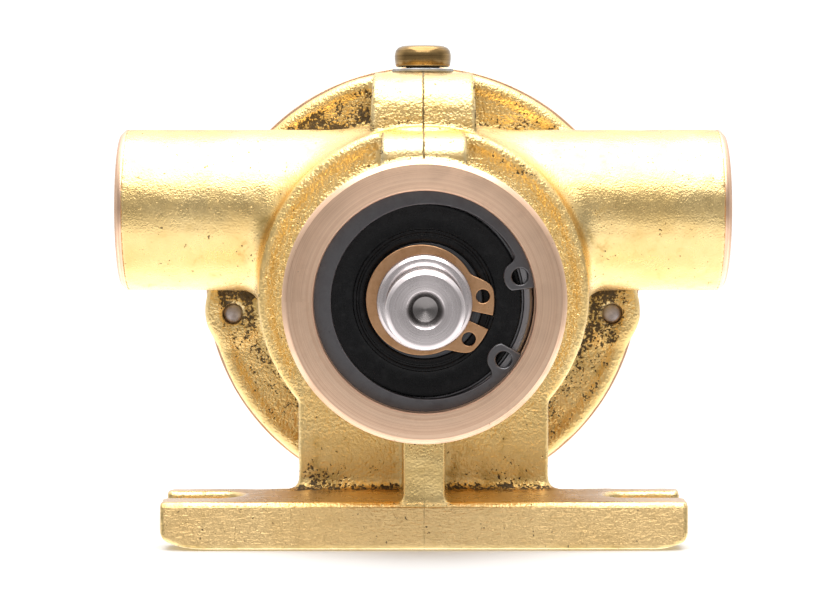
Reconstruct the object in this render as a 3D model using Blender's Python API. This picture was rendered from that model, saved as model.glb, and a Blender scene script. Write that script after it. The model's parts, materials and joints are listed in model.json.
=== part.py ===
"""A flexible-impeller water pump on a slotted foot, as an assembly of separate solids.

Metres. +X points to the right-hand port, +Y to the end cover and +Z up. The origin is the middle of
the foot's underside. The shaft lies along Y, and a place along it is given by its depth: the distance
behind the bearing collar's front face.
"""
import math

import bmesh
import bpy

MM = 0.001

# Clearances
FACE_GAP = 0.3 * MM  # between faces that rest on each other
SEAT_GAP = 0.2 * MM  # radial, between a ring and its seat
RUN_GAP = 0.22 * MM  # radial, between a ball and its tracks
PAST = 1.0 * MM  # how far a cutter runs past what it cuts
LAP = 1.0 * MM  # how far a solid runs into the one it is joined to

# Shaft
SHAFT_SEAT_RADIUS = 7.5 * MM
SHAFT_END_RADIUS = 6.0 * MM
SHAFT_REACH = 20.0 * MM  # how far the drive end stands out of the collar
SHOULDER_REACH = 2.3 * MM
CENTRE_DRILL_RADIUS = 2.73 * MM
PILOT_RADIUS = 1.95 * MM
THRUST_COLLAR_RADIUS = 9.2 * MM
THRUST_COLLAR_WIDTH = 1.2 * MM

# Ball bearings
BEARING_RADIUS = 17.3 * MM
WIDTH_TO_SECTION = 11 / 9.6  # a bearing's width over the height of its section
BEARING_SETBACK = 5.0 * MM  # front bearing's face behind the collar's face
BALLS = 8
SPACER_LENGTH = 2.7 * MM
SEAL_THICKNESS = 0.9 * MM

# Circlips
BORE_CLIP_THICKNESS = 1.5 * MM
SHAFT_CLIP_THICKNESS = 1.0 * MM
CLIP_GROOVE_DEPTH = 1.0 * MM

# Housing
COLLAR_WALL = 5.0 * MM
COLLAR_CHAMFER = 0.8 * MM
HUB_SETBACK = 0.25 * MM  # of the hub's lip behind the web's front face
HUB_RECESS = 0.3 * MM  # of the hub's face behind its lip
HUB_DRAFT = 1.2 * MM
CHAMBER_WALL = 3.6 * MM
SCREW_LAND = 5.3 * MM  # from the barrel's wall to the cover screws' circle
FLANGE_EDGE = 4.45 * MM  # from that circle to the flange's rim
FLANGE_THICKNESS = 5.4 * MM
FLANGE_CAST_STEP = 0.45 * MM  # the cast edge is this much smaller than the turned rim
SCREW_BOSS_RADIUS = 5.0 * MM

# Water end
CHAMBER_RADIUS = 25.5 * MM
IMPELLER_WIDTH = 22.2 * MM
IMPELLER_HUB_RADIUS = 13.5 * MM
INSERT_RADIUS = 8.8 * MM
VANES = 8
VANE_THICKNESS = 2.2 * MM
VANE_TIP_RADIUS = 1.5 * MM
VANE_PRELOAD = 0.15 * MM  # the free impeller is this much larger than the chamber
CAM_HEIGHT = 4.6 * MM
CAM_HALF_ANGLE = math.radians(35)
WEAR_PLATE_THICKNESS = 0.8 * MM
PIN_RADIUS = 1.5 * MM
SLINGER_ROOM = 3.0 * MM
SEAL_WALL = 1.0 * MM
SEAL_ROOM = 4.0 * MM
SEAL_RADIUS = 10.8 * MM
SLINGER_RADIUS = 10.0 * MM
SLINGER_THICKNESS = 1.0 * MM
WEEP_RADIUS = 1.9 * MM

# Ports
PORT_SPAN = 105.0 * MM
PORT_RADIUS = 14.06 * MM
PORT_BORE_RADIUS = 10.0 * MM
PORT_PASSAGE_RADIUS = 7.8 * MM
PORT_THREAD_LENGTH = 16.0 * MM
PORT_RISE = 13.43 * MM  # above the shaft
PORT_INSET = 0.84 * MM  # from the flange's back face to the port's wall
PORT_CHAMFER = 1.1 * MM

# End cover and its fasteners
COVER_THICKNESS = 3.0 * MM
GASKET_THICKNESS = 0.5 * MM
SCREW_RADIUS = 1.85 * MM
SCREW_HEAD_RADIUS = 3.5 * MM
SCREW_HEAD_HEIGHT = 2.6 * MM
SCREW_SLOT_WIDTH = 1.2 * MM
SCREW_SLOT_DEPTH = 1.2 * MM
SCREW_ANGLES = (52, 99, 153, -153, -99, -52)  # degrees from the top

# Cam screw and the boss under it
CAM_SCREW_RADIUS = 2.85 * MM
CAM_HEAD_RADIUS = 4.95 * MM
CAM_HEAD_HEIGHT = 3.7 * MM
WASHER_RADIUS = 5.4 * MM
WASHER_THICKNESS = 0.6 * MM
BOSS_WIDTH = 17.9 * MM
BOSS_DROP = 1.6 * MM  # of the boss's flat below the flange's rim
FRONT_STEP_WIDTH = 14.4 * MM

# Foot and pedestal
FOOT_WIDTH = 85.8 * MM
FOOT_DEPTH = 17.7 * MM
FOOT_THICKNESS = 7.75 * MM
FOOT_CORNER = 2.4 * MM
FOOT_EDGE = 0.9 * MM
FLOOR_CLEARANCE = 2.05 * MM  # under the flange's rim
TOE_LENGTH = 23.0 * MM  # of the pad that runs back from the foot, under the body
WEB_WIDTH = 42.1 * MM
WEB_THICKNESS = 6.5 * MM
WEB_LEAD = 3.1 * MM  # of the web's front face ahead of the bearings' shoulder
WEB_STEP = 1.2 * MM  # of the web's front face ahead of the foot's back face
FRONT_RIB_WIDTH = 6.7 * MM
REAR_RIB_WIDTH = 14.0 * MM
BOLT_SLOT_WIDTH = 7.4 * MM
BOLT_SLOT_LENGTH = 12.8 * MM
BOLT_SLOT_SETBACK = 10.2 * MM  # of its middle behind the foot's front face

# Radii that follow from the sizes above
race_bore_radius = SHAFT_SEAT_RADIUS + SEAT_GAP
bearing_bore_radius = BEARING_RADIUS + SEAT_GAP
collar_radius = bearing_bore_radius + COLLAR_WALL
barrel_radius = CHAMBER_RADIUS + CHAMBER_WALL
hub_radius = barrel_radius - HUB_DRAFT
screw_circle_radius = barrel_radius + SCREW_LAND
flange_radius = screw_circle_radius + FLANGE_EDGE
pitch_radius = (BEARING_RADIUS + race_bore_radius) / 2
race_section = BEARING_RADIUS - race_bore_radius
ball_radius = 0.31 * race_section
bearing_width = WIDTH_TO_SECTION * race_section
track_radius = ball_radius + RUN_GAP
land_offset = 0.6 * track_radius
seal_inner_radius = race_bore_radius + 0.2 * race_section
seal_outer_radius = BEARING_RADIUS - 0.18 * race_section

# Depths along the shaft, front to back
front_bearing_depth = BEARING_SETBACK
spacer_depth = front_bearing_depth + bearing_width + FACE_GAP
rear_bearing_depth = spacer_depth + SPACER_LENGTH + FACE_GAP
bearing_shoulder_depth = rear_bearing_depth + bearing_width + FACE_GAP
seal_wall_depth = bearing_shoulder_depth + SLINGER_ROOM
seal_seat_depth = seal_wall_depth + SEAL_WALL
chamber_depth = seal_seat_depth + SEAL_ROOM
wear_plate_depth = chamber_depth + FACE_GAP
impeller_depth = wear_plate_depth + WEAR_PLATE_THICKNESS + FACE_GAP
impeller_end = impeller_depth + IMPELLER_WIDTH
cover_depth = impeller_end + FACE_GAP
gasket_depth = cover_depth - FACE_GAP - GASKET_THICKNESS
flange_back_depth = gasket_depth - FACE_GAP
flange_depth = flange_back_depth - FLANGE_THICKNESS
bore_clip_depth = front_bearing_depth - FACE_GAP - BORE_CLIP_THICKNESS
shaft_clip_depth = front_bearing_depth - FACE_GAP - SHAFT_CLIP_THICKNESS
port_depth = flange_back_depth - PORT_RADIUS - PORT_INSET
cam_screw_depth = flange_depth - WASHER_RADIUS - 2 * FACE_GAP
web_depth = bearing_shoulder_depth - WEB_LEAD
foot_setback = web_depth + WEB_STEP - FOOT_DEPTH
hub_depth = web_depth + HUB_SETBACK

# Heights above or below the shaft
shaft_height = flange_radius + FLOOR_CLEARANCE
foot_top = FOOT_THICKNESS - shaft_height
boss_height = flange_radius - BOSS_DROP
collar_face_y = -foot_setback - FOOT_DEPTH / 2


def place(depth):
    """The Y of a point at this depth behind the collar's face."""
    return collar_face_y + depth


# --- building blocks -------------------------------------------------------------------------------


def remove_all_objects():
    for old in list(bpy.data.objects):
        bpy.data.objects.remove(old, do_unlink=True)


def make_material(name, colour, roughness, metallic):
    made = bpy.data.materials.new(name)
    made.use_nodes = True
    shader = made.node_tree.nodes["Principled BSDF"]
    shader.inputs["Base Color"].default_value = (*colour, 1)
    shader.inputs["Roughness"].default_value = roughness
    shader.inputs["Metallic"].default_value = metallic
    made.diffuse_color = (*colour, 1)
    return made


def make_axis(name):
    """An empty on the shaft's axis, for the pieces that turn about it or seat around it."""
    axis = bpy.data.objects.new(name, None)
    axis.location = (0, 0, shaft_height)
    axis.empty_display_size = 0.01
    bpy.context.collection.objects.link(axis)
    return axis


def object_from(name, mesh_builder, material=None, parent=None, depth=None):
    """An object from a bmesh. Its own Y runs back from the given depth, on its parent's axis."""
    bmesh.ops.recalc_face_normals(mesh_builder, faces=mesh_builder.faces)
    mesh = bpy.data.meshes.new(name)
    mesh_builder.to_mesh(mesh)
    mesh_builder.free()
    mesh.shade_smooth()
    mesh.set_sharp_from_angle(angle=math.radians(38))
    made = bpy.data.objects.new(name, mesh)
    bpy.context.collection.objects.link(made)
    if material:
        mesh.materials.append(material)
    made.parent = parent
    if depth is not None:
        made.location = (0, place(depth), 0)
    return made


def copy_of(original, name, location, turn=0.0):
    """Another object with the same mesh, moved, and turned about Y."""
    twin = bpy.data.objects.new(name, original.data)
    twin.parent = original.parent
    twin.location = location
    twin.rotation_euler = (0, turn, 0)
    for source in original.modifiers:
        repeated = twin.modifiers.new(source.name, source.type)
        repeated.operation = source.operation
        repeated.object = source.object
        repeated.solver = source.solver
    bpy.context.collection.objects.link(twin)
    return twin


def turned(section, segments):
    """A ring or a round bar about Y, from points of (radius, y). Points on the axis close its ends."""
    made = bmesh.new()
    points = [made.verts.new((radius, y, 0)) for radius, y in section]
    edges = [made.edges.new(pair) for pair in zip(points, points[1:])]
    solid_bar = section[0][0] == 0 and section[-1][0] == 0
    if not solid_bar:
        edges.append(made.edges.new((points[-1], points[0])))
    bmesh.ops.spin(
        made,
        geom=points + edges,
        cent=(0, 0, 0),
        axis=(0, 1, 0),
        angle=2 * math.pi,
        steps=segments,
        use_merge=True,
    )
    bmesh.ops.remove_doubles(made, verts=made.verts, dist=0.00001 * MM)
    return made


def extruded(outline, start, length, direction="Y"):
    """A closed outline of (x, z) drawn back along Y, or of (y, z) drawn along X."""
    made = bmesh.new()
    if direction == "Y":
        corners = [made.verts.new((a, start, b)) for a, b in outline]
        step = (0, length, 0)
    else:
        corners = [made.verts.new((start, a, b)) for a, b in outline]
        step = (length, 0, 0)
    face = made.faces.new(corners)
    grown = bmesh.ops.extrude_face_region(made, geom=[face])
    moved = [item for item in grown["geom"] if isinstance(item, bmesh.types.BMVert)]
    bmesh.ops.translate(made, verts=moved, vec=step)
    return made


def box(low, high):
    made = bmesh.new()
    bmesh.ops.create_cube(made, size=1)
    size = [b - a for a, b in zip(low, high)]
    middle = [(a + b) / 2 for a, b in zip(low, high)]
    bmesh.ops.scale(made, vec=size, verts=made.verts)
    bmesh.ops.translate(made, vec=middle, verts=made.verts)
    return made


def cylinder(radius, start, end, direction, centre=(0, 0), segments=24):
    """A plain cylinder along X, Y or Z. centre is its place on the other two axes, in their order."""
    made = bmesh.new()
    ring = []
    for k in range(segments):
        angle = 2 * math.pi * k / segments
        a = centre[0] + radius * math.cos(angle)
        b = centre[1] + radius * math.sin(angle)
        corner = {"X": (start, a, b), "Y": (a, start, b), "Z": (a, b, start)}[direction]
        ring.append(made.verts.new(corner))
    step = {"X": (1, 0, 0), "Y": (0, 1, 0), "Z": (0, 0, 1)}[direction]
    grown = bmesh.ops.extrude_face_region(made, geom=[made.faces.new(ring)])
    moved = [item for item in grown["geom"] if isinstance(item, bmesh.types.BMVert)]
    bmesh.ops.translate(made, verts=moved, vec=[c * (end - start) for c in step])
    return made


def helper(name, mesh_builder, parent):
    """A hidden object that only adds to or cuts another."""
    made = object_from(name, mesh_builder, parent=parent)
    made.hide_render = True
    made.display_type = "WIRE"
    return made


def combine(target, tool, operation):
    step = target.modifiers.new(f"{operation.lower()} {tool.name}", "BOOLEAN")
    step.operation = operation
    step.object = tool
    step.solver = "EXACT"


def arc(centre, radius, start, end, steps):
    """Points on a circle, both ends included. Angles are in radians."""
    found = []
    for k in range(steps + 1):
        angle = start + (end - start) * k / steps
        found.append((centre[0] + radius * math.cos(angle), centre[1] + radius * math.sin(angle)))
    return found


def rounded_rectangle(left, right, low, high, low_corner, high_corner, steps=3):
    quarter = math.pi / 2
    corners = [
        (left + low_corner, low + low_corner, low_corner, 2 * quarter),
        (right - low_corner, low + low_corner, low_corner, 3 * quarter),
        (right - high_corner, high - high_corner, high_corner, 0),
        (left + high_corner, high - high_corner, high_corner, quarter),
    ]
    outline = []
    for x, z, radius, start in corners:
        outline += arc((x, z), radius, start, start + quarter, steps)
    return outline


def screw_places():
    """(x, z) of each cover screw, from the shaft."""
    for angle in SCREW_ANGLES:
        turn = math.radians(angle)
        yield (
            screw_circle_radius * math.sin(turn),
            screw_circle_radius * math.cos(turn),
        )


# --- housing ---------------------------------------------------------------------------------------


def barrel_section():
    """Collar, hub, barrel and flange as one solid bar."""
    lip = 1.2 * MM
    cast_rim = flange_radius - FLANGE_CAST_STEP
    edge = 1.5 * MM
    rim_depth = flange_depth + 2 * MM
    hub_edge = arc((hub_radius - lip, hub_depth + lip), lip, -math.pi / 2, 0, 3)
    flange_edge = arc((cast_rim - edge, flange_depth + edge), edge, -math.pi / 2, 0, 3)
    section = [
        (0, 0),
        (collar_radius - COLLAR_CHAMFER, 0),
        (collar_radius, COLLAR_CHAMFER),
        (collar_radius, hub_depth + HUB_RECESS),
        (hub_radius - lip - 0.5 * MM, hub_depth + HUB_RECESS),
        *hub_edge,
        (barrel_radius, flange_depth - 2 * MM),
        (barrel_radius + 2 * MM, flange_depth),
        *flange_edge,
        (cast_rim, rim_depth),
        (flange_radius, rim_depth),
        (flange_radius, flange_back_depth),
        (0, flange_back_depth),
    ]
    return [(radius, place(depth)) for radius, depth in section]


def cavity_section():
    """Everything that is bored out along the shaft: bearing bore, slinger room, seal seat, chamber."""
    groove_radius = bearing_bore_radius + CLIP_GROOVE_DEPTH
    groove_front = bore_clip_depth - FACE_GAP
    slinger_wall_radius = SLINGER_RADIUS + 2.5 * MM
    seal_hole_radius = SHAFT_END_RADIUS + 2.5 * MM
    seat_radius = SEAL_RADIUS + SEAT_GAP
    section = [
        (0, -PAST),
        (bearing_bore_radius + 0.4 * MM, -PAST),
        (bearing_bore_radius + 0.4 * MM, 0),
        (bearing_bore_radius, 0.4 * MM),
        (bearing_bore_radius, groove_front),
        (groove_radius, groove_front),
        (groove_radius, front_bearing_depth),
        (bearing_bore_radius, front_bearing_depth),
        (bearing_bore_radius, bearing_shoulder_depth),
        (slinger_wall_radius, bearing_shoulder_depth),
        (slinger_wall_radius, seal_wall_depth),
        (seal_hole_radius, seal_wall_depth),
        (seal_hole_radius, seal_seat_depth),
        (seat_radius, seal_seat_depth),
        (seat_radius, chamber_depth),
        (CHAMBER_RADIUS, chamber_depth),
        (CHAMBER_RADIUS, flange_back_depth + PAST),
        (0, flange_back_depth + PAST),
    ]
    return [(radius, place(depth)) for radius, depth in section]


def boss_outline():
    """Side view of the cam screw's boss: it rises from the hub in one curve to a flat."""
    foot_depth = hub_depth + 1.8 * MM
    flat_depth = cam_screw_depth - WASHER_RADIUS - 1 * MM
    run = flat_depth - foot_depth
    rise = boss_height - hub_radius
    curve = []
    for k in range(7):
        angle = math.pi / 2 * k / 6
        depth = flat_depth - run * math.cos(angle)
        curve.append((place(depth), hub_radius + rise * math.sin(angle)))
    inside = hub_radius - LAP
    back = place(flange_depth + LAP)
    return [(place(foot_depth), inside), *curve, (back, boss_height), (back, inside)]


def front_step_outline():
    """Side view of the step that runs from the collar up to the boss."""
    start = hub_depth - 11 * MM
    end = hub_depth + 12 * MM
    inside = collar_radius - 1.5 * MM
    height = hub_radius - 0.9 * MM
    run = hub_depth - start
    curve = []
    for k in range(5):
        angle = math.pi / 2 * k / 4
        depth = hub_depth + 0.5 * MM - run * math.cos(angle)
        curve.append((place(depth), inside + (height - inside) * math.sin(angle)))
    return [*curve, (place(end), height), (place(end), inside)]


def foot_solid():
    outline = rounded_rectangle(
        -FOOT_WIDTH / 2, FOOT_WIDTH / 2, -shaft_height, foot_top, FOOT_CORNER, 1 * MM
    )
    made = extruded(outline, place(foot_setback), FOOT_DEPTH)
    ends = [e for e in made.edges if abs(e.verts[0].co.y - e.verts[1].co.y) < 0.01 * MM]
    bmesh.ops.bevel(made, geom=ends, offset=FOOT_EDGE, segments=2, affect="EDGES", profile=0.5)
    return made


def port_section():
    half = PORT_SPAN / 2
    return [
        (0, -half),
        (PORT_RADIUS - PORT_CHAMFER, -half),
        (PORT_RADIUS, -half + PORT_CHAMFER),
        (PORT_RADIUS, half - PORT_CHAMFER),
        (PORT_RADIUS - PORT_CHAMFER, half),
        (0, half),
    ]


def port_solid():
    """Both ports as one bar along X."""
    made = turned(port_section(), 32)
    for vert in made.verts:
        x, y, z = vert.co
        vert.co = (y, place(port_depth) - x, PORT_RISE + z)
    return made


def added_solids():
    """(name, mesh) of what is cast onto the barrel."""
    deep = -shaft_height
    web_end = place(web_depth + WEB_THICKNESS)
    rib_front = place(foot_setback)
    foot_back = place(foot_setback + FOOT_DEPTH)
    yield "ports", port_solid()
    yield "boss", extruded(boss_outline(), -BOSS_WIDTH / 2, BOSS_WIDTH, "X")
    yield "front_step", extruded(front_step_outline(), -FRONT_STEP_WIDTH / 2, FRONT_STEP_WIDTH, "X")
    yield "foot", foot_solid()
    yield "web", box(
        (-WEB_WIDTH / 2, place(web_depth), foot_top - 2 * MM),
        (WEB_WIDTH / 2, web_end, -0.5 * collar_radius),
    )
    yield "toe", box(
        (-WEB_WIDTH / 2, foot_back - 3 * MM, deep),
        (WEB_WIDTH / 2, foot_back + TOE_LENGTH, foot_top - 0.2 * MM),
    )
    yield "front_rib", box(
        (-FRONT_RIB_WIDTH / 2, rib_front, deep + FOOT_EDGE),
        (FRONT_RIB_WIDTH / 2, web_end - LAP, -0.9 * collar_radius),
    )
    yield "rear_rib", box(
        (-REAR_RIB_WIDTH / 2, web_end - LAP, foot_top - LAP),
        (REAR_RIB_WIDTH / 2, foot_back + TOE_LENGTH - 2 * MM, -0.9 * hub_radius),
    )
    for number, (x, z) in enumerate(screw_places(), 1):
        start = place(flange_depth + 0.3 * MM)
        end = place(flange_back_depth)
        yield f"screw_boss_{number}", cylinder(SCREW_BOSS_RADIUS, start, end, "Y", (x, z), 16)


def cutters():
    """(name, mesh) of what is cut out of the casting."""
    half = PORT_SPAN / 2
    at_port = (place(port_depth), PORT_RISE)
    inside = CHAMBER_RADIUS * 0.72
    yield "cavity", turned(cavity_section(), 44)
    for name, side in (("left", -1), ("right", 1)):
        mouth = side * (half + PAST)
        thread_end = side * (half - PORT_THREAD_LENGTH)
        yield f"{name}_mouth", cylinder(PORT_BORE_RADIUS, mouth, thread_end, "X", at_port, 24)
        yield f"{name}_passage", cylinder(
            PORT_PASSAGE_RADIUS, thread_end + side * PAST, side * inside, "X", at_port, 20
        )
        yield f"{name}_slot", slot_cutter(side)
        yield f"{name}_weep", weep_cutter(side)
    for number, (x, z) in enumerate(screw_places(), 1):
        start = place(flange_depth) - PAST
        end = place(flange_back_depth) + PAST
        radius = SCREW_RADIUS + FACE_GAP
        yield f"screw_hole_{number}", cylinder(radius, start, end, "Y", (x, z), 12)
    yield "cam_hole", cylinder(
        CAM_SCREW_RADIUS + FACE_GAP,
        0.8 * CHAMBER_RADIUS,
        boss_height + PAST,
        "Z",
        (0, place(cam_screw_depth)),
        20,
    )


def slot_cutter(side):
    """An open-ended bolt slot in one end of the foot."""
    radius = BOLT_SLOT_WIDTH / 2
    centre = FOOT_WIDTH / 2 - BOLT_SLOT_LENGTH + radius
    y = place(foot_setback) + BOLT_SLOT_SETBACK
    round_end = arc((centre, y), radius, math.pi / 2, 3 * math.pi / 2, 8)
    outside = FOOT_WIDTH / 2 + PAST
    outline = [(outside, y + radius), *round_end, (outside, y - radius)]
    made = bmesh.new()
    low = -shaft_height - PAST
    corners = [made.verts.new((side * a, b, low)) for a, b in outline]
    grown = bmesh.ops.extrude_face_region(made, geom=[made.faces.new(corners)])
    moved = [item for item in grown["geom"] if isinstance(item, bmesh.types.BMVert)]
    bmesh.ops.translate(made, verts=moved, vec=(0, 0, FOOT_THICKNESS + 2 * PAST))
    return made


def weep_cutter(side):
    """A hole from the slinger's room out through the barrel, a third of the way below level."""
    middle = (bearing_shoulder_depth + seal_wall_depth) / 2
    made = cylinder(WEEP_RADIUS * 0.7, SLINGER_RADIUS, hub_radius + 4 * MM, "X", segments=8)
    turn = math.radians(30)
    for vert in made.verts:
        x, z = vert.co.x, vert.co.z
        vert.co.x = side * (x * math.cos(turn) + z * math.sin(turn))
        vert.co.z = z * math.cos(turn) - x * math.sin(turn)
        vert.co.y += place(middle)
    return made


def make_pump_body(material, axis):
    body = object_from("pump_body", turned(barrel_section(), 48), material, axis)
    for name, solid in added_solids():
        combine(body, helper(f"add_{name}", solid, axis), "UNION")
    for name, solid in cutters():
        combine(body, helper(f"cut_{name}", solid, axis), "DIFFERENCE")
    return body


def plate_with_screw_holes(name, section, material, axis, segments=44):
    """A flat ring or disc behind the flange, drilled for the cover screws."""
    plate = object_from(name, turned(section, segments), material, axis)
    low = min(y for _, y in section) - PAST
    high = max(y for _, y in section) + PAST
    for number, (x, z) in enumerate(screw_places(), 1):
        drill = cylinder(SCREW_RADIUS + FACE_GAP, low, high, "Y", (x, z), 12)
        combine(plate, helper(f"drill_{name}_{number}", drill, axis), "DIFFERENCE")
    return plate


def make_gasket(material, axis):
    outer = flange_radius - 0.6 * MM
    inner = CHAMBER_RADIUS + FACE_GAP
    start = place(gasket_depth)
    end = place(gasket_depth + GASKET_THICKNESS)
    section = [(inner, start), (outer, start), (outer, end), (inner, end)]
    return plate_with_screw_holes("cover_gasket", section, material, axis)


def make_end_cover(material, axis):
    chamfer = 0.5 * MM
    start = place(cover_depth)
    end = place(cover_depth + COVER_THICKNESS)
    section = [
        (0, start),
        (flange_radius, start),
        (flange_radius, end - chamfer),
        (flange_radius - chamfer, end),
        (0, end),
    ]
    return plate_with_screw_holes("end_cover", section, material, axis)


def make_cover_screws(material, axis):
    """Slotted cheese-head screws, put in from behind. Their ends stand just short of the flange."""
    head_start = cover_depth + COVER_THICKNESS + FACE_GAP
    shank = head_start - flange_depth - FACE_GAP
    section = [
        (0, -shank),
        (SCREW_RADIUS - 0.3 * MM, -shank),
        (SCREW_RADIUS, -shank + 0.3 * MM),
        (SCREW_RADIUS, 0),
        (SCREW_HEAD_RADIUS, 0),
        (SCREW_HEAD_RADIUS, SCREW_HEAD_HEIGHT - 0.5 * MM),
        (SCREW_HEAD_RADIUS - 0.5 * MM, SCREW_HEAD_HEIGHT),
        (0, SCREW_HEAD_HEIGHT),
    ]
    made = cut_slot(turned(section, 14), SCREW_HEAD_RADIUS, SCREW_HEAD_HEIGHT)
    first = None
    for number, (x, z) in enumerate(screw_places(), 1):
        where = (x, place(head_start), z)
        if first is None:
            first = object_from("cover_screw_1", made, material, axis)
            first.location = where
        else:
            copy_of(first, f"cover_screw_{number}", where)


def cut_slot(screw, head_radius, head_height):
    """Cuts a screwdriver slot along X in the end of a head that faces +Y."""
    half_width = SCREW_SLOT_WIDTH / 2
    low = (-head_radius - PAST, head_height - SCREW_SLOT_DEPTH, -half_width)
    high = (head_radius + PAST, head_height + PAST, half_width)
    blank = object_from("slot_blank", screw)
    cutter = helper("slot_tool", box(low, high), None)
    combine(blank, cutter, "DIFFERENCE")
    depsgraph = bpy.context.evaluated_depsgraph_get()
    made = bmesh.new()
    made.from_object(blank, depsgraph)
    for used in (blank, cutter):
        bpy.data.objects.remove(used, do_unlink=True)
    return made


def make_cam_screw(material, axis):
    tip = -(boss_height + WASHER_THICKNESS + 2 * FACE_GAP - (CHAMBER_RADIUS - 3.2 * MM))
    barrel = 0.25 * MM
    section = [
        (0, tip),
        (CAM_SCREW_RADIUS - 0.4 * MM, tip),
        (CAM_SCREW_RADIUS, tip + 0.4 * MM),
        (CAM_SCREW_RADIUS, 0),
        (CAM_HEAD_RADIUS - barrel, 0),
        (CAM_HEAD_RADIUS, CAM_HEAD_HEIGHT * 0.35),
        (CAM_HEAD_RADIUS, CAM_HEAD_HEIGHT * 0.65),
        (CAM_HEAD_RADIUS - barrel, CAM_HEAD_HEIGHT - 0.7 * MM),
        (CAM_HEAD_RADIUS - 1 * MM, CAM_HEAD_HEIGHT),
        (0, CAM_HEAD_HEIGHT),
    ]
    made = cut_slot(turned(section, 20), CAM_HEAD_RADIUS, CAM_HEAD_HEIGHT)
    screw = object_from("cam_screw", made, material, axis)
    screw.location = (
        0,
        place(cam_screw_depth),
        boss_height + WASHER_THICKNESS + 2 * FACE_GAP,
    )
    screw.rotation_euler = (math.pi / 2, 0, 0)
    return screw


def make_cam_washer(material, axis):
    inner = CAM_SCREW_RADIUS + FACE_GAP
    section = [
        (inner, 0),
        (WASHER_RADIUS, 0),
        (WASHER_RADIUS, WASHER_THICKNESS),
        (inner, WASHER_THICKNESS),
    ]
    washer = object_from("cam_washer", turned(section, 24), material, axis)
    washer.location = (0, place(cam_screw_depth), boss_height + FACE_GAP)
    washer.rotation_euler = (math.pi / 2, 0, 0)
    return washer


# --- water end -------------------------------------------------------------------------------------


def cam_depth_at(angle):
    """How far the cam stands in from the chamber's wall, at this angle from the top."""
    share = min(abs(angle) / CAM_HALF_ANGLE, 1)
    return CAM_HEIGHT * math.cos(share * math.pi / 2) ** 2


def make_cam(material, axis):
    outer = CHAMBER_RADIUS - FACE_GAP
    steps = 18
    thin = 0.5 * MM
    outside = []
    inside = []
    for k in range(steps + 1):
        angle = CAM_HALF_ANGLE * (2 * k / steps - 1)
        radius = CHAMBER_RADIUS - FACE_GAP - thin - cam_depth_at(angle) * 0.89
        outside.append((outer * math.sin(angle), outer * math.cos(angle)))
        inside.append((radius * math.sin(angle), radius * math.cos(angle)))
    outline = outside + inside[::-1]
    cam = object_from("cam", extruded(outline, place(impeller_depth), IMPELLER_WIDTH), material, axis)
    hole = cylinder(
        CAM_SCREW_RADIUS + FACE_GAP,
        CHAMBER_RADIUS - 3.2 * MM - FACE_GAP,
        CHAMBER_RADIUS + PAST,
        "Z",
        (0, place(cam_screw_depth)),
        20,
    )
    combine(cam, helper("cut_cam_thread", hole, axis), "DIFFERENCE")
    return cam


def tip_limit(angle):
    """How far from the shaft a vane's tip may reach, at this angle from the top."""
    clear = CHAMBER_RADIUS - FACE_GAP
    if abs(angle) < CAM_HALF_ANGLE + math.radians(2):
        clear -= FACE_GAP + 0.5 * MM + cam_depth_at(angle) * 0.89
    return clear


def vane_line(root_angle, bend, length, steps=5):
    """Centreline of a vane that leaves the hub radially and bends with one curvature."""
    root = IMPELLER_HUB_RADIUS - 0.5 * MM
    points = []
    for k in range(steps + 1):
        run = length * k / steps
        out = root + math.sin(bend * run) / bend
        side = (1 - math.cos(bend * run)) / bend
        radius = math.hypot(out, side)
        angle = root_angle + math.atan2(side, out)
        heading = root_angle + bend * run
        points.append((radius, angle, heading))
    return points


def wrapped(angle):
    return (angle + math.pi) % (2 * math.pi) - math.pi


def bent_vane(root_angle):
    """The vane at this angle, bent just enough for its tip to clear the chamber and the cam."""
    root = IMPELLER_HUB_RADIUS - 0.5 * MM
    length = CHAMBER_RADIUS + VANE_PRELOAD - VANE_TIP_RADIUS - root
    low, high = 0.01 / length, 2.9 / length
    for _ in range(30):
        bend = (low + high) / 2
        radius, angle, _ = vane_line(root_angle, bend, length)[-1]
        spread = VANE_TIP_RADIUS / radius
        angles = (angle - spread, angle, angle + spread)
        limit = min(tip_limit(wrapped(a)) for a in angles) - VANE_TIP_RADIUS
        if radius > limit:
            low = bend
        else:
            high = bend
    return vane_line(root_angle, high, length)


def impeller_outline():
    """The hub with its bent vanes, clockwise from the top, as (x, z)."""
    outline = []
    half = VANE_THICKNESS / 2
    pitch = 2 * math.pi / VANES
    root_half_angle = math.asin(half / IMPELLER_HUB_RADIUS) + math.radians(1.5)
    for number in range(VANES):
        root_angle = pitch * (number + 0.5)
        line = bent_vane(root_angle)[1:]
        near, far = [], []
        for radius, angle, heading in line[:-1]:
            x, z = radius * math.sin(angle), radius * math.cos(angle)
            across = (math.cos(heading) * half, -math.sin(heading) * half)
            near.append((x - across[0], z - across[1]))
            far.append((x + across[0], z + across[1]))
        radius, angle, heading = line[-1]
        centre = (radius * math.sin(angle), radius * math.cos(angle))
        forward = math.pi / 2 - heading
        tip = arc(centre, VANE_TIP_RADIUS, forward + 2.2, forward - 2.2, 5)
        outline += near + tip + far[::-1]
        between = pitch - 2 * root_half_angle
        for share in (0, 1 / 3, 2 / 3, 1):
            a = root_angle + root_half_angle + between * share
            outline.append((IMPELLER_HUB_RADIUS * math.sin(a), IMPELLER_HUB_RADIUS * math.cos(a)))
    return outline


def make_impeller(material, axis):
    blank = extruded(impeller_outline(), place(impeller_depth), IMPELLER_WIDTH)
    impeller = object_from("impeller", blank, material, axis)
    bore = cylinder(
        INSERT_RADIUS + SEAT_GAP,
        place(impeller_depth) - PAST,
        place(impeller_end) + PAST,
        "Y",
        segments=32,
    )
    combine(impeller, helper("cut_impeller_bore", bore, axis), "DIFFERENCE")
    return impeller


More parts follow.
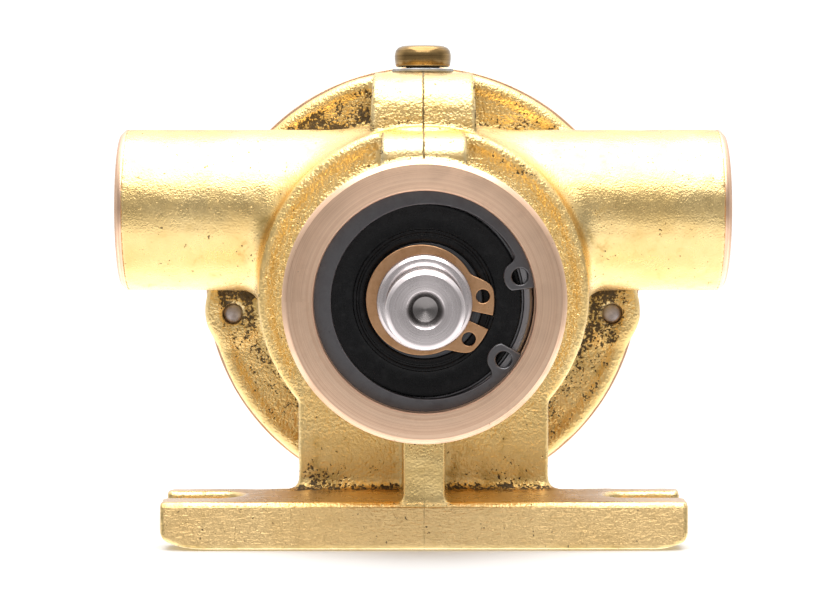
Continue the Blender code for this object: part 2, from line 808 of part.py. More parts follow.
def make_insert(material, axis):
    """The brass bush that the rubber is moulded on, notched for the cross pin."""
    bore = SHAFT_END_RADIUS + SEAT_GAP
    start, end = place(impeller_depth), place(impeller_end)
    section = [(bore, start), (INSERT_RADIUS, start), (INSERT_RADIUS, end), (bore, end)]
    insert = object_from("impeller_insert", turned(section, 32), material, axis)
    half = PIN_RADIUS + SEAT_GAP
    notch = box(
        (-INSERT_RADIUS - PAST, pin_place() - half, -half),
        (INSERT_RADIUS + PAST, end + PAST, half),
    )
    combine(insert, helper("cut_insert_notch", notch, axis), "DIFFERENCE")
    return insert


def pin_place():
    return place(impeller_end - 3 * MM)


def make_drive_pin(material, axis):
    half = INSERT_RADIUS - 0.5 * MM
    pin = cylinder(PIN_RADIUS, -half, half, "X", segments=16)
    made = object_from("drive_pin", pin, material, axis)
    made.location = (0, pin_place(), 0)
    return made


def make_wear_plate(material, axis):
    inner = SEAL_RADIUS - 2.3 * MM
    outer = CHAMBER_RADIUS - FACE_GAP
    section = [
        (inner, 0),
        (outer, 0),
        (outer, WEAR_PLATE_THICKNESS),
        (inner, WEAR_PLATE_THICKNESS),
    ]
    return object_from("wear_plate", turned(section, 32), material, axis, wear_plate_depth)


def make_lip_seal(material, axis):
    """A rubber-covered cup with a lip that bears on the shaft, open to the chamber."""
    width = SEAL_ROOM - 2 * FACE_GAP
    floor = 0.9 * MM
    lip = SHAFT_END_RADIUS + SEAT_GAP
    neck = lip + 1.05 * MM
    case = SEAL_RADIUS - 0.9 * MM
    section = [
        (lip + 0.4 * MM, 0),
        (SEAL_RADIUS, 0),
        (SEAL_RADIUS, width),
        (case, width),
        (case, floor),
        (neck, floor),
        (neck, width - 0.4 * MM),
        (lip, width - 0.4 * MM),
    ]
    depth = seal_seat_depth + FACE_GAP
    return object_from("lip_seal", turned(section, 28), material, axis, depth)


def make_seal_spring(material, axis):
    """The garter spring around the seal's lip."""
    wire = 0.5 * MM
    radius = SHAFT_END_RADIUS + SEAT_GAP + 1.05 * MM + FACE_GAP + wire
    middle = FACE_GAP + 2.1 * MM
    section = arc((radius, middle), wire, 0, 2 * math.pi * 4 / 5, 4)
    return object_from("seal_spring", turned(section, 24), material, axis, seal_seat_depth)


def make_slinger(material, axis):
    inner = SHAFT_END_RADIUS + SEAT_GAP
    section = [
        (inner, 0),
        (inner + 1.2 * MM, 0),
        (SLINGER_RADIUS, 0.35 * MM),
        (SLINGER_RADIUS, SLINGER_THICKNESS),
        (inner, SLINGER_THICKNESS),
    ]
    depth = bearing_shoulder_depth + THRUST_COLLAR_WIDTH + FACE_GAP
    return object_from("slinger", turned(section, 28), material, axis, depth)


# --- shaft and bearings ----------------------------------------------------------------------------


def shaft_section():
    end = -SHAFT_REACH
    shoulder = -SHOULDER_REACH
    fillet = 0.6 * MM
    groove_radius = SHAFT_SEAT_RADIUS - 0.6 * MM
    groove_start = shaft_clip_depth - FACE_GAP
    thrust = bearing_shoulder_depth
    after = thrust + THRUST_COLLAR_WIDTH
    back = impeller_end - 1 * MM
    return [
        (0, end + 3.1 * MM),
        (PILOT_RADIUS, end + 2.5 * MM),
        (PILOT_RADIUS, end + 0.9 * MM),
        (CENTRE_DRILL_RADIUS, end),
        (SHAFT_END_RADIUS - 0.6 * MM, end),
        (SHAFT_END_RADIUS, end + 0.6 * MM),
        (SHAFT_END_RADIUS, shoulder - fillet),
        (SHAFT_END_RADIUS + 0.2 * fillet, shoulder - 0.3 * fillet),
        (SHAFT_END_RADIUS + fillet, shoulder),
        (SHAFT_SEAT_RADIUS - 0.5 * MM, shoulder),
        (SHAFT_SEAT_RADIUS, shoulder + 0.5 * MM),
        (SHAFT_SEAT_RADIUS, groove_start),
        (groove_radius, groove_start),
        (groove_radius, front_bearing_depth),
        (SHAFT_SEAT_RADIUS, front_bearing_depth),
        (SHAFT_SEAT_RADIUS, thrust),
        (THRUST_COLLAR_RADIUS, thrust),
        (THRUST_COLLAR_RADIUS, after),
        (SHAFT_END_RADIUS, after),
        (SHAFT_END_RADIUS, back - 0.6 * MM),
        (SHAFT_END_RADIUS - 0.6 * MM, back),
        (0, back),
    ]


def make_shaft(material, axis):
    section = [(radius, place(depth)) for radius, depth in shaft_section()]
    shaft = object_from("shaft", turned(section, 32), material, axis)
    reach = SHAFT_END_RADIUS + PAST
    hole = cylinder(PIN_RADIUS + SEAT_GAP, -reach, reach, "X", (pin_place(), 0), 16)
    combine(shaft, helper("cut_pin_hole", hole, axis), "DIFFERENCE")
    return shaft


def outer_race_section():
    seat = seal_outer_radius + FACE_GAP
    land = pitch_radius + land_offset
    recess = SEAL_THICKNESS + 0.7 * MM
    middle = bearing_width / 2
    reach = math.acos(land_offset / track_radius)
    chamfer = 0.4 * MM
    track = arc((pitch_radius, middle), track_radius, reach, -reach, 4)
    return [
        (BEARING_RADIUS - chamfer, 0),
        (BEARING_RADIUS, chamfer),
        (BEARING_RADIUS, bearing_width),
        (seat, bearing_width),
        (seat, bearing_width - recess),
        (land, bearing_width - recess),
        *track,
        (land, recess),
        (seat, recess),
        (seat, 0),
    ]


def inner_race_section():
    shelf = seal_inner_radius - FACE_GAP
    land = pitch_radius - land_offset
    recess = SEAL_THICKNESS + 0.6 * MM
    middle = bearing_width / 2
    reach = math.acos(land_offset / track_radius)
    chamfer = 0.3 * MM
    track = arc((pitch_radius, middle), track_radius, math.pi + reach, math.pi - reach, 4)
    return [
        (race_bore_radius, bearing_width),
        (race_bore_radius, chamfer),
        (race_bore_radius + chamfer, 0),
        (shelf, 0),
        (shelf, recess),
        (land, recess),
        *track,
        (land, bearing_width - recess),
        (shelf, bearing_width - recess),
        (shelf, bearing_width),
    ]


def bearing_seal_section(start):
    """A rubber washer with a shallow ring groove near its lip."""
    end = start + SEAL_THICKNESS
    groove = seal_inner_radius + 1.0 * MM
    shallow = 0.3 * MM if start < bearing_width / 2 else 0
    return [
        (seal_inner_radius, start),
        (groove, start),
        (groove + 0.4 * MM, start + shallow),
        (seal_outer_radius, start + shallow),
        (seal_outer_radius, end),
        (seal_inner_radius, end),
    ]


def cage_solid():
    half = ball_radius + 0.6 * MM
    wall = 0.6 * MM
    middle = bearing_width / 2
    section = [
        (pitch_radius - wall, middle - half),
        (pitch_radius + wall, middle - half),
        (pitch_radius + wall, middle + half),
        (pitch_radius - wall, middle + half),
    ]
    return turned(section, 24)


def ball_angle(number):
    return 2 * math.pi * number / BALLS


def make_cage(name, material, axis, depth):
    """One cage, with a round pocket for each ball."""
    cage = object_from(name, cage_solid(), material, axis, depth)
    radius = ball_radius + FACE_GAP * 0.8
    for number in range(BALLS):
        pocket = cylinder(radius, pitch_radius - 3 * PAST, pitch_radius + 3 * PAST, "Z", segments=10)
        tool = helper(f"{name}_pocket_{number + 1}", pocket, axis)
        tool.location = (0, place(depth + bearing_width / 2), 0)
        tool.rotation_euler = (0, ball_angle(number), 0)
        combine(cage, tool, "DIFFERENCE")
    return cage


def make_balls(name, material, axis, depth):
    made = bmesh.new()
    bmesh.ops.create_uvsphere(made, u_segments=10, v_segments=6, radius=ball_radius)
    first = object_from(f"{name}_ball_1", made, material, axis)
    for number in range(BALLS):
        turn = ball_angle(number)
        where = (
            pitch_radius * math.sin(turn),
            place(depth + bearing_width / 2),
            pitch_radius * math.cos(turn),
        )
        if number == 0:
            first.location = where
        else:
            copy_of(first, f"{name}_ball_{number + 1}", where)


def make_bearing(name, depth, materials, housing_axis, rotor_axis, cage_axis):
    steel = materials["race_steel"]
    rubber = materials["seal_rubber"]
    outer = turned(outer_race_section(), 28)
    inner = turned(inner_race_section(), 28)
    object_from(f"{name}_outer_race", outer, steel, housing_axis, depth)
    object_from(f"{name}_inner_race", inner, steel, rotor_axis, depth)
    seal_inset = 0.35 * MM
    places = (
        ("front", seal_inset),
        ("rear", bearing_width - seal_inset - SEAL_THICKNESS),
    )
    for side, start in places:
        seal = turned(bearing_seal_section(start), 28)
        object_from(f"{name}_{side}_seal", seal, rubber, housing_axis, depth)
    make_cage(f"{name}_cage", materials["cage_steel"], cage_axis, depth)
    make_balls(name, materials["ball_steel"], cage_axis, depth)


def make_spacer(material, axis):
    outer = seal_inner_radius - FACE_GAP
    section = [
        (race_bore_radius, 0),
        (outer, 0),
        (outer, SPACER_LENGTH),
        (race_bore_radius, SPACER_LENGTH),
    ]
    return object_from("bearing_spacer", turned(section, 28), material, axis, spacer_depth)


# --- circlips --------------------------------------------------------------------------------------


def off_centre_circle(angle, radius, offset, direction):
    """Distance from the shaft to a circle whose centre lies off it, along a ray at this angle."""
    across = angle - direction
    return offset * math.cos(across) + math.sqrt(radius**2 - (offset * math.sin(across)) ** 2)


def blend(value, start, end):
    """0 at start, 1 at end, smooth between them."""
    share = min(max((value - start) / (end - start), 0), 1)
    return share * share * (3 - 2 * share)


def clip_outline(inside, outside, gap_middle, gap_half, steps):
    """A ring that is open over a gap, from its two edges as functions of the angle from that gap."""
    outer, inner = [], []
    for k in range(steps + 1):
        away = gap_half + (2 * math.pi - 2 * gap_half) * k / steps
        angle = gap_middle + away
        from_gap = min(away, 2 * math.pi - away)
        for edge, found in ((outside, outer), (inside, inner)):
            radius = edge(angle, from_gap)
            found.append((radius * math.cos(angle), radius * math.sin(angle)))
    return outer + inner[::-1]


def make_bore_clip(material, axis):
    """The ring in the collar's groove. Its lugs point inwards."""
    gap_middle = math.radians(-11)
    gap_half = math.radians(17.7)
    lug_angle = gap_half + math.radians(7.8)
    hole_place = bearing_bore_radius - 1.85 * MM
    lug_radius = 2.65 * MM
    outer_radius = bearing_bore_radius + CLIP_GROOVE_DEPTH - SEAT_GAP
    inner_radius = bearing_bore_radius - 2.05 * MM

    def outside(angle, from_gap):
        return outer_radius

    def inside(angle, from_gap):
        plain = off_centre_circle(angle, inner_radius, 0.7 * MM, gap_middle)
        off = abs(from_gap - lug_angle)
        reach = math.asin(lug_radius / hole_place)
        if off >= reach:
            return plain
        near = math.sqrt(lug_radius**2 - (hole_place * math.sin(off)) ** 2)
        return min(plain, hole_place * math.cos(off) - near)

    outline = clip_outline(inside, outside, gap_middle, gap_half, 54)
    start = place(bore_clip_depth)
    clip = object_from("bore_circlip", extruded(outline, start, BORE_CLIP_THICKNESS), material, axis)
    drill_clip(clip, hole_place, 1.3 * MM, gap_middle, lug_angle, start, BORE_CLIP_THICKNESS, axis)
    return clip


def make_shaft_clip(material, axis):
    """The ring in the shaft's groove. Its lugs point outwards."""
    gap_middle = math.radians(-18)
    gap_half = math.radians(6)
    lug_angle = math.radians(22.6)
    groove_radius = SHAFT_SEAT_RADIUS - 0.6 * MM
    inner_radius = groove_radius + SEAT_GAP
    plain_radius = SHAFT_SEAT_RADIUS + 1.2 * MM
    lug_reach = SHAFT_SEAT_RADIUS + 3.6 * MM

    def inside(angle, from_gap):
        return inner_radius

    def outside(angle, from_gap):
        plain = off_centre_circle(angle, plain_radius, -0.5 * MM, gap_middle)
        ear = 1 - blend(from_gap, lug_angle + math.radians(4), lug_angle + math.radians(28))
        return plain + (lug_reach - plain) * ear

    outline = clip_outline(inside, outside, gap_middle, gap_half, 50)
    start = place(shaft_clip_depth)
    clip = object_from("shaft_circlip", extruded(outline, start, SHAFT_CLIP_THICKNESS), material, axis)
    hole_place = SHAFT_SEAT_RADIUS + 1.8 * MM
    drill_clip(clip, hole_place, 1.1 * MM, gap_middle, lug_angle, start, SHAFT_CLIP_THICKNESS, axis)
    return clip


def drill_clip(clip, hole_place, radius, gap_middle, lug_angle, start, thickness, axis):
    for number, side in enumerate((-1, 1), 1):
        angle = gap_middle + side * lug_angle
        centre = (hole_place * math.cos(angle), hole_place * math.sin(angle))
        drill = cylinder(radius, start - PAST, start + thickness + PAST, "Y", centre, 14)
        combine(clip, helper(f"drill_{clip.name}_{number}", drill, axis), "DIFFERENCE")


# --- assembly --------------------------------------------------------------------------------------


def make_materials():
    looks = {
        "cast_brass": ((0.72, 0.52, 0.20), 0.35, 1.0),
        "cover_bronze": ((0.70, 0.48, 0.32), 0.35, 1.0),
        "aged_brass": ((0.45, 0.30, 0.11), 0.35, 1.0),
        "cam_bronze": ((0.60, 0.38, 0.20), 0.4, 1.0),
        "insert_brass": ((0.68, 0.50, 0.22), 0.4, 1.0),
        "stainless": ((0.72, 0.70, 0.69), 0.25, 1.0),
        "washer_steel": ((0.50, 0.50, 0.50), 0.5, 1.0),
        "screw_steel": ((0.62, 0.61, 0.60), 0.45, 1.0),
        "race_steel": ((0.45, 0.44, 0.45), 0.35, 1.0),
        "ball_steel": ((0.75, 0.75, 0.76), 0.1, 1.0),
        "cage_steel": ((0.55, 0.55, 0.56), 0.4, 1.0),
        "dark_spring_steel": ((0.12, 0.12, 0.13), 0.4, 0.9),
        "copper_spring_steel": ((0.55, 0.30, 0.14), 0.35, 1.0),
        "seal_rubber": ((0.012, 0.012, 0.013), 0.4, 0.0),
        "impeller_rubber": ((0.03, 0.03, 0.03), 0.6, 0.0),
        "gasket_paper": ((0.22, 0.20, 0.16), 0.9, 0.0),
    }
    return {name: make_material(name, *look) for name, look in looks.items()}


def build():
    remove_all_objects()
    materials = make_materials()
    housing = make_axis("housing_axis")
    rotor = make_axis("shaft_axis")
    front_cage = make_axis("front_cage_axis")
    rear_cage = make_axis("rear_cage_axis")

    make_pump_body(materials["cast_brass"], housing)
    make_gasket(materials["gasket_paper"], housing)
    make_end_cover(materials["cover_bronze"], housing)
    make_cover_screws(materials["screw_steel"], housing)
    make_cam_washer(materials["washer_steel"], housing)
    make_cam_screw(materials["aged_brass"], housing)
    make_cam(materials["cam_bronze"], housing)
    make_wear_plate(materials["screw_steel"], housing)
    make_lip_seal(materials["seal_rubber"], housing)
    make_seal_spring(materials["screw_steel"], housing)
    make_bore_clip(materials["dark_spring_steel"], housing)

    make_shaft(materials["stainless"], rotor)
    make_shaft_clip(materials["copper_spring_steel"], rotor)
    make_spacer(materials["race_steel"], rotor)
    make_slinger(materials["impeller_rubber"], rotor)
    make_impeller(materials["impeller_rubber"], rotor)
    make_insert(materials["insert_brass"], rotor)
    make_drive_pin(materials["stainless"], rotor)

    make_bearing("front_bearing", front_bearing_depth, materials, housing, rotor, front_cage)
    make_bearing("rear_bearing", rear_bearing_depth, materials, housing, rotor, rear_cage)


build()
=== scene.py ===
"""Looks for a flexible-impeller water pump: a cast brass body, its turned faces and its small parts.

Sizes are in mm and are turned into metres where a mesh is made. A place on the casting is given as
x, depth and up: depth is the distance behind the bearing collar's front face, along the shaft, and up
is the height above the shaft.
"""

import json
import math

import bmesh
import bpy
import numpy as np
from mathutils import Euler, Matrix, Vector


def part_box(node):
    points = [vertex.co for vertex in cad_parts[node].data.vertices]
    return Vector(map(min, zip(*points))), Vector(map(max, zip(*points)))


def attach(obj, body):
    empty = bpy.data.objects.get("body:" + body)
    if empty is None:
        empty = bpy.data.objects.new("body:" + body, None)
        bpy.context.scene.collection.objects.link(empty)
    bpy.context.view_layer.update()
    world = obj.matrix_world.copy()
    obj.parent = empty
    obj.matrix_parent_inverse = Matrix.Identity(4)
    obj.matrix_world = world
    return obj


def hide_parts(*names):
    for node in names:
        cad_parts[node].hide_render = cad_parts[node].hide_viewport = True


MM = 0.001

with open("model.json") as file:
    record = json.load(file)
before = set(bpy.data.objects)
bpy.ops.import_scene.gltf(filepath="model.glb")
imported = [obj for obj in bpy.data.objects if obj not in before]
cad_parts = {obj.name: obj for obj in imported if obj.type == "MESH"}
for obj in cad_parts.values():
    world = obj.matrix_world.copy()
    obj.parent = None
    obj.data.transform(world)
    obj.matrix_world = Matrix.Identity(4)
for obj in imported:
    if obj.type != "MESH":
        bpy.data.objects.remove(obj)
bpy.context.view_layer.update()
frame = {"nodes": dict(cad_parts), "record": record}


def box_mm(node):
    low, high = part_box(node)
    return low / MM, high / MM


# --- sizes that the frame gives ---

body_low, body_high = box_mm("pump_body")
shaft_low, shaft_high = box_mm("shaft")
cover_low, cover_high = box_mm("end_cover")
gasket_low, gasket_high = box_mm("cover_gasket")
head_low, head_high = box_mm("cam_screw")
washer_low, washer_high = box_mm("cam_washer")

SHAFT_HEIGHT = (shaft_low.z + shaft_high.z) / 2
FACE_Y = body_low.y
FLANGE_RADIUS = (cover_high.x - cover_low.x) / 2
FLANGE_BACK = body_high.y - FACE_Y
PORT_END = body_high.x

# --- the casting's other sizes ---

COLLAR_RADIUS = 22.5
BEARING_BORE = 17.5
HUB_DEPTH = 27.75
HUB_RADIUS = 27.9
BARREL_RADIUS = 29.1
FLANGE_DEPTH = 56.0
CAST_STEP = 0.45
CHAMBER_RADIUS = 25.5
CHAMBER_DEPTH = 38.6
SCREW_CIRCLE = 34.4
SCREW_PLACES = [
    (SCREW_CIRCLE * math.sin(math.radians(a)), SCREW_CIRCLE * math.cos(math.radians(a)))
    for a in (52, 99, 153, -153, -99, -52)
]
SCREW_BOSS_RADIUS = 4.75
SCREW_RADIUS = 1.85
PORT_RADIUS = 14.06
PORT_DEPTH = 46.5
PORT_RISE = 13.43
PORT_BORE = 10.0
THREAD_LENGTH = 16.0
BOSS_TOP = 37.25
BOSS_HALF = 8.5
STEP_HALF = 6.85
CAM_DEPTH = 50.0
CAM_HOLE_RADIUS = 3.15
WEEP_DEPTH = 32.1
WEEP_RADIUS = 1.4
WEEP_SLOPE = math.radians(30)
FOOT_DEPTH = 11.0
FOOT_BACK = 28.7
FOOT_HALF = 42.9
FOOT_THICKNESS = 7.75
FOOT_BOTTOM = -SHAFT_HEIGHT
FOOT_TOP = FOOT_THICKNESS - SHAFT_HEIGHT
TOE_BACK = 51.7
WEB_HALF = 21.05
WEB_DEPTH = 27.5
WEB_BACK = 34.0
RIB_HALF = 3.35
SLOT_MIDDLE = 33.8
SLOT_HALF = 3.7
SLOT_DEPTH = 21.2
CELL = 0.6  # grid step of the casting's mesh


# --- shapes as signed distances ---


def join(a, b, fillet):
    """Two shapes as one, with a fillet of about this size where they meet."""
    near = np.maximum(fillet - np.abs(a - b), 0) / fillet
    return np.minimum(a, b) - near * near * fillet / 4


def overlap(a, b, rounding):
    """What two shapes share, with its new edges rounded."""
    return -join(-a, -b, rounding)


def cut(a, b, rounding):
    """The first shape without the second."""
    return overlap(a, -b, rounding)


def rounded(offsets, rounding):
    """A convex shape from the distances past its sides, its edges rounded."""
    shrunk = [offset + rounding for offset in offsets]
    outside = np.sqrt(sum(np.maximum(offset, 0) ** 2 for offset in shrunk))
    inside = np.minimum(np.maximum.reduce(shrunk), 0)
    return outside + inside - rounding


def span(value, low, high):
    """Distance past the nearer end of a stretch: negative between its ends."""
    return np.abs(value - (low + high) / 2) - (high - low) / 2


def block(x, depth, up, half_width, depths, heights, rounding):
    return rounded([np.abs(x) - half_width, span(depth, *depths), span(up, *heights)], rounding)


def disc(radial, depth, radius, depths, rounding):
    return rounded([radial - radius, span(depth, *depths)], rounding)


def hill(x, depth, up, half_width, start, top_depth, end, base, top, rounding, fullness=3):
    """A drafted pad that rises steeply from base, rounds over to top and runs level to its end."""
    run = np.maximum(top_depth - depth, 0) / (top_depth - start)
    rise = np.maximum(up - base, 0) / (top - base)
    curved = ((run**fullness + rise**fullness) ** (1 / fullness) - 1) * (top - base)
    surface = np.where(run > 0, curved, up - top)
    side = np.abs(x) - half_width - 0.045 * (top - up)
    return rounded([surface, side, depth - end, start - depth, base - 8 - up], rounding)


def foot(x, depth, up):
    slab = block(x, depth, up, FOOT_HALF, (FOOT_DEPTH, FOOT_BACK), (FOOT_BOTTOM, FOOT_TOP), 0.55)
    run, rise = np.where(x < 0, 3.8, 2.6), np.where(x < 0, 1.6, 1.3)
    corner = ((np.abs(x) - FOOT_HALF + run) * rise + (FOOT_BOTTOM - up) * run) / np.hypot(run, rise)
    slab = overlap(slab, corner, 1.4)
    slot = np.hypot(np.maximum(SLOT_MIDDLE - np.abs(x), 0), depth - SLOT_DEPTH) - SLOT_HALF
    return cut(slab, slot, 0.9)


def pedestal(x, depth, up):
    """Foot, web and ribs."""
    web = block(x, depth, up, WEB_HALF, (WEB_DEPTH, WEB_BACK), (FOOT_BOTTOM + 3, -11.25), 1.0)
    rib = block(x, depth, up, RIB_HALF, (FOOT_DEPTH, WEB_BACK), (FOOT_BOTTOM + 1, -20), 0.8)
    toe = block(x, depth, up, WEB_HALF, (FOOT_DEPTH + 5, TOE_BACK), (FOOT_BOTTOM, FOOT_TOP - 0.2), 1.2)
    rear = block(x, depth, up, 7.0, (WEB_BACK - 2, TOE_BACK - 2), (FOOT_BOTTOM + 3, -24), 1.0)
    base = np.minimum(foot(x, depth, up), toe)
    base = join(base, web, 2.2)
    base = join(base, rear, 3.0)
    return join(base, rib, 1.1)


def barrel(x, depth, up, radial):
    """Hub, barrel and flange, with the screws' bosses."""
    share = np.clip((depth - HUB_DEPTH) / (FLANGE_DEPTH - HUB_DEPTH), 0, 1)
    radius = HUB_RADIUS + (BARREL_RADIUS - HUB_RADIUS) * share
    behind_web = ramp(-up, 11.5, 14) * (1 - ramp(np.abs(x), WEB_HALF - 3, WEB_HALF - 0.5))
    sunk = 0.4 * (1 - ramp(radial, HUB_RADIUS - 3.0, HUB_RADIUS - 1.4)) + 2 * behind_web
    hub = disc(radial, depth - sunk, radius, (HUB_DEPTH, FLANGE_BACK - 1), 1.0)
    rim = FLANGE_RADIUS - CAST_STEP
    dished = 0.4 * (1 - ramp(radial, rim - 3.4, rim - 1.9))
    flange = disc(radial, depth - dished, rim, (FLANGE_DEPTH, FLANGE_BACK - 0.3), 1.5)
    bosses = np.full(np.shape(x), 1e3)
    for cx, cy in SCREW_PLACES:
        from_screw = np.hypot(x - cx, up - cy)
        depths = (FLANGE_DEPTH + 0.3, FLANGE_BACK - 0.3)
        boss = disc(from_screw, depth, SCREW_BOSS_RADIUS, depths, 0.9)
        bosses = np.minimum(bosses, boss)
    flange = join(flange, bosses, 2.5)
    return join(hub, flange, 2.2)


def bored(x, depth, up, radial):
    """Everything that is drilled or bored out of the casting."""
    past = FLANGE_BACK + 5
    steps = [
        (BEARING_BORE + 0.3, -5, 30.6), (12.5, 30, 33.6), (8.5, 33, 35), (11.0, 34.6, 39),
        (CHAMBER_RADIUS, CHAMBER_DEPTH, past),
    ]
    holes = [np.maximum(radial - radius, span(depth, a, b)) for radius, a, b in steps]
    from_port = np.hypot(depth - PORT_DEPTH, up - PORT_RISE)
    mouth = PORT_END - THREAD_LENGTH
    holes.append(np.maximum(from_port - PORT_BORE - 0.9, mouth - np.abs(x)))
    holes.append(np.maximum(from_port - 7.8, CHAMBER_RADIUS * 0.72 - np.abs(x)))
    for cx, cy in SCREW_PLACES:
        from_screw = np.hypot(x - cx, up - cy)
        holes.append(np.maximum(from_screw - SCREW_RADIUS + 0.05, FLANGE_DEPTH - 3 - depth))
    holes.append(np.maximum(np.hypot(x, depth - CAM_DEPTH) - CAM_HOLE_RADIUS, 20 - up))
    along = np.abs(x) * math.cos(WEEP_SLOPE) - up * math.sin(WEEP_SLOPE)
    across = np.abs(x) * math.sin(WEEP_SLOPE) + up * math.cos(WEEP_SLOPE)
    holes.append(np.maximum(np.hypot(across, depth - WEEP_DEPTH) - WEEP_RADIUS, 10 - along))
    return np.minimum.reduce(holes)


def casting(x, depth, up):
    """Signed distance to the casting's surface, in mm: negative inside."""
    radial = np.hypot(x, up)
    collar = disc(radial, depth, COLLAR_RADIUS - 0.12, (0.5, HUB_DEPTH + 6), 0.3)
    from_port = np.hypot(depth - PORT_DEPTH, up - PORT_RISE)
    ports = rounded([from_port - PORT_RADIUS + 0.05, np.abs(x) - PORT_END + 0.9], 0.3)
    flat = CAM_DEPTH - 6.4
    boss = hill(x, depth, up, BOSS_HALF, HUB_DEPTH + 1.8, flat, FLANGE_DEPTH + 1, 26.9, BOSS_TOP, 0.45)
    step = hill(x, depth, up, STEP_HALF, 16.75, 28.25, 40, COLLAR_RADIUS - 1.5, HUB_RADIUS - 0.9, 0.4)
    shape = barrel(x, depth, up, radial)
    shape = join(shape, ports, 3.6)
    shape = join(shape, boss, 0.6)
    shape = join(shape, collar, 0.8)
    shape = join(shape, step, 0.5)
    shape = join(shape, pedestal(x, depth, up), 0.5)
    return np.maximum(shape, -bored(x, depth, up, radial))


# --- a mesh from a signed distance ---


def crossings(value, cell):
    """The middle of the places where each cell's edges meet the surface, as a share of the cell."""
    total = np.zeros((len(cell), 3))
    hits = np.zeros(len(cell))
    for axis in range(3):
        for first in (0, 1):
            for second in (0, 1):
                start = np.insert([first, second], axis, 0)
                end = start.copy()
                end[axis] = 1
                at_start = value[tuple((cell + start).T)]
                at_end = value[tuple((cell + end).T)]
                meets = (at_start < 0) != (at_end < 0)
                share = np.where(meets, at_start / np.where(meets, at_start - at_end, 1), 0)
                point = start + share[:, None] * (end - start)
                total += point * meets[:, None]
                hits += meets
    return total / hits[:, None]


def surface_quads(inside, index):
    """One quad for each grid edge that the surface crosses, between the four cells around it."""
    found = []
    for axis in range(3):
        u, v = (axis + 1) % 3, (axis + 2) % 3
        low = [slice(None)] * 3
        high = [slice(None)] * 3
        low[axis], high[axis] = slice(None, -1), slice(1, None)
        crosses = inside[tuple(low)] != inside[tuple(high)]
        edge = np.argwhere(crosses)
        edge = edge[(edge[:, u] > 0) & (edge[:, v] > 0)]
        edge = edge[(edge[:, u] < inside.shape[u] - 1) & (edge[:, v] < inside.shape[v] - 1)]
        step_u, step_v = np.eye(3, dtype=int)[[u, v]]
        ring = [edge, edge - step_u, edge - step_u - step_v, edge - step_v]
        quad = np.stack([index[tuple(cell.T)] for cell in ring], axis=1)
        leaves = inside[tuple(edge.T)]
        quad[~leaves] = quad[~leaves][:, ::-1]
        found.append(quad)
    return np.concatenate(found)


def gradient(distance, points, reach=0.05):
    columns = []
    for axis in range(3):
        shift = np.zeros(3)
        shift[axis] = reach
        columns.append(distance(*(points + shift).T) - distance(*(points - shift).T))
    return np.stack(columns, axis=1) / (2 * reach)


def relaxed(points, quads):
    """Each point moved half way to the middle of its neighbours, so the quads come out even."""
    total = np.zeros_like(points)
    count = np.zeros(len(points))
    for a in range(4):
        ends = quads[:, a], quads[:, (a + 1) % 4]
        for here, there in (ends, ends[::-1]):
            np.add.at(total, here, points[there])
            np.add.at(count, here, 1)
    return (points + total / count[:, None]) / 2


def surface_of(distance, low, high, cell_size):
    """Points and quads of the surface where distance is zero."""
    axes = [np.arange(a, b + cell_size, cell_size) for a, b in zip(low, high)]
    grid = np.meshgrid(*axes, indexing="ij")
    value = distance(*grid)
    inside = value < 0
    shape = [n - 1 for n in inside.shape]
    count = np.zeros(shape, int)
    for corner in np.ndindex(2, 2, 2):
        window = tuple(slice(c, c + n) for c, n in zip(corner, shape))
        count += inside[window]
    mixed = (count > 0) & (count < 8)
    index = np.full(shape, -1)
    index[mixed] = np.arange(mixed.sum())
    cell = np.argwhere(mixed)
    points = np.array(low) + cell_size * (cell + crossings(value, cell))
    quads = surface_quads(inside, index)
    for _ in range(3):
        points = relaxed(points, quads)
        for _ in range(2):
            slope = gradient(distance, points)
            steep = np.maximum((slope**2).sum(1), 0.25)
            points -= (distance(*points.T) / steep)[:, None] * slope
    return points, quads


# --- the casting's mesh ---


def waves(points, length, seed):
    """Soft seeded unevenness of about this length, from -1 to 1."""
    chance = np.random.RandomState(seed)
    total = np.zeros(len(points))
    for _ in range(9):
        direction = chance.normal(size=3)
        direction *= 2 * math.pi / length / np.linalg.norm(direction)
        total += np.sin(points @ direction + chance.uniform(0, 2 * math.pi))
    return total / 4


def ramp(value, low, high):
    share = np.clip((value - low) / (high - low), 0, 1)
    return share * share * (3 - 2 * share)


def hollowness(points, normals, reach):
    """0 on a flat or a ridge, towards 1 in a corner that is closed in over this reach."""
    return np.clip(1 - casting(*(points + normals * reach).T) / reach, 0, 1)


def ridges(points, normals, reach):
    """0 on a flat, towards 1 on an edge that stands out."""
    return np.clip(1 + casting(*(points - normals * reach).T) / reach, 0, 1)


FLANGE_STAINS = [  # middle and half width in degrees from the top, and the most dirt
    (-35, 26, 1.0),
    (38, 16, 0.6),
    (-92, 14, 0.95),
    (95, 14, 0.9),
    (-125, 26, 0.45),
    (125, 34, 0.62),
]


def patch(value, middle, width):
    """A soft bump: 1 at its middle, and about a third at its width."""
    return np.exp(-(((value - middle) / width) ** 2))


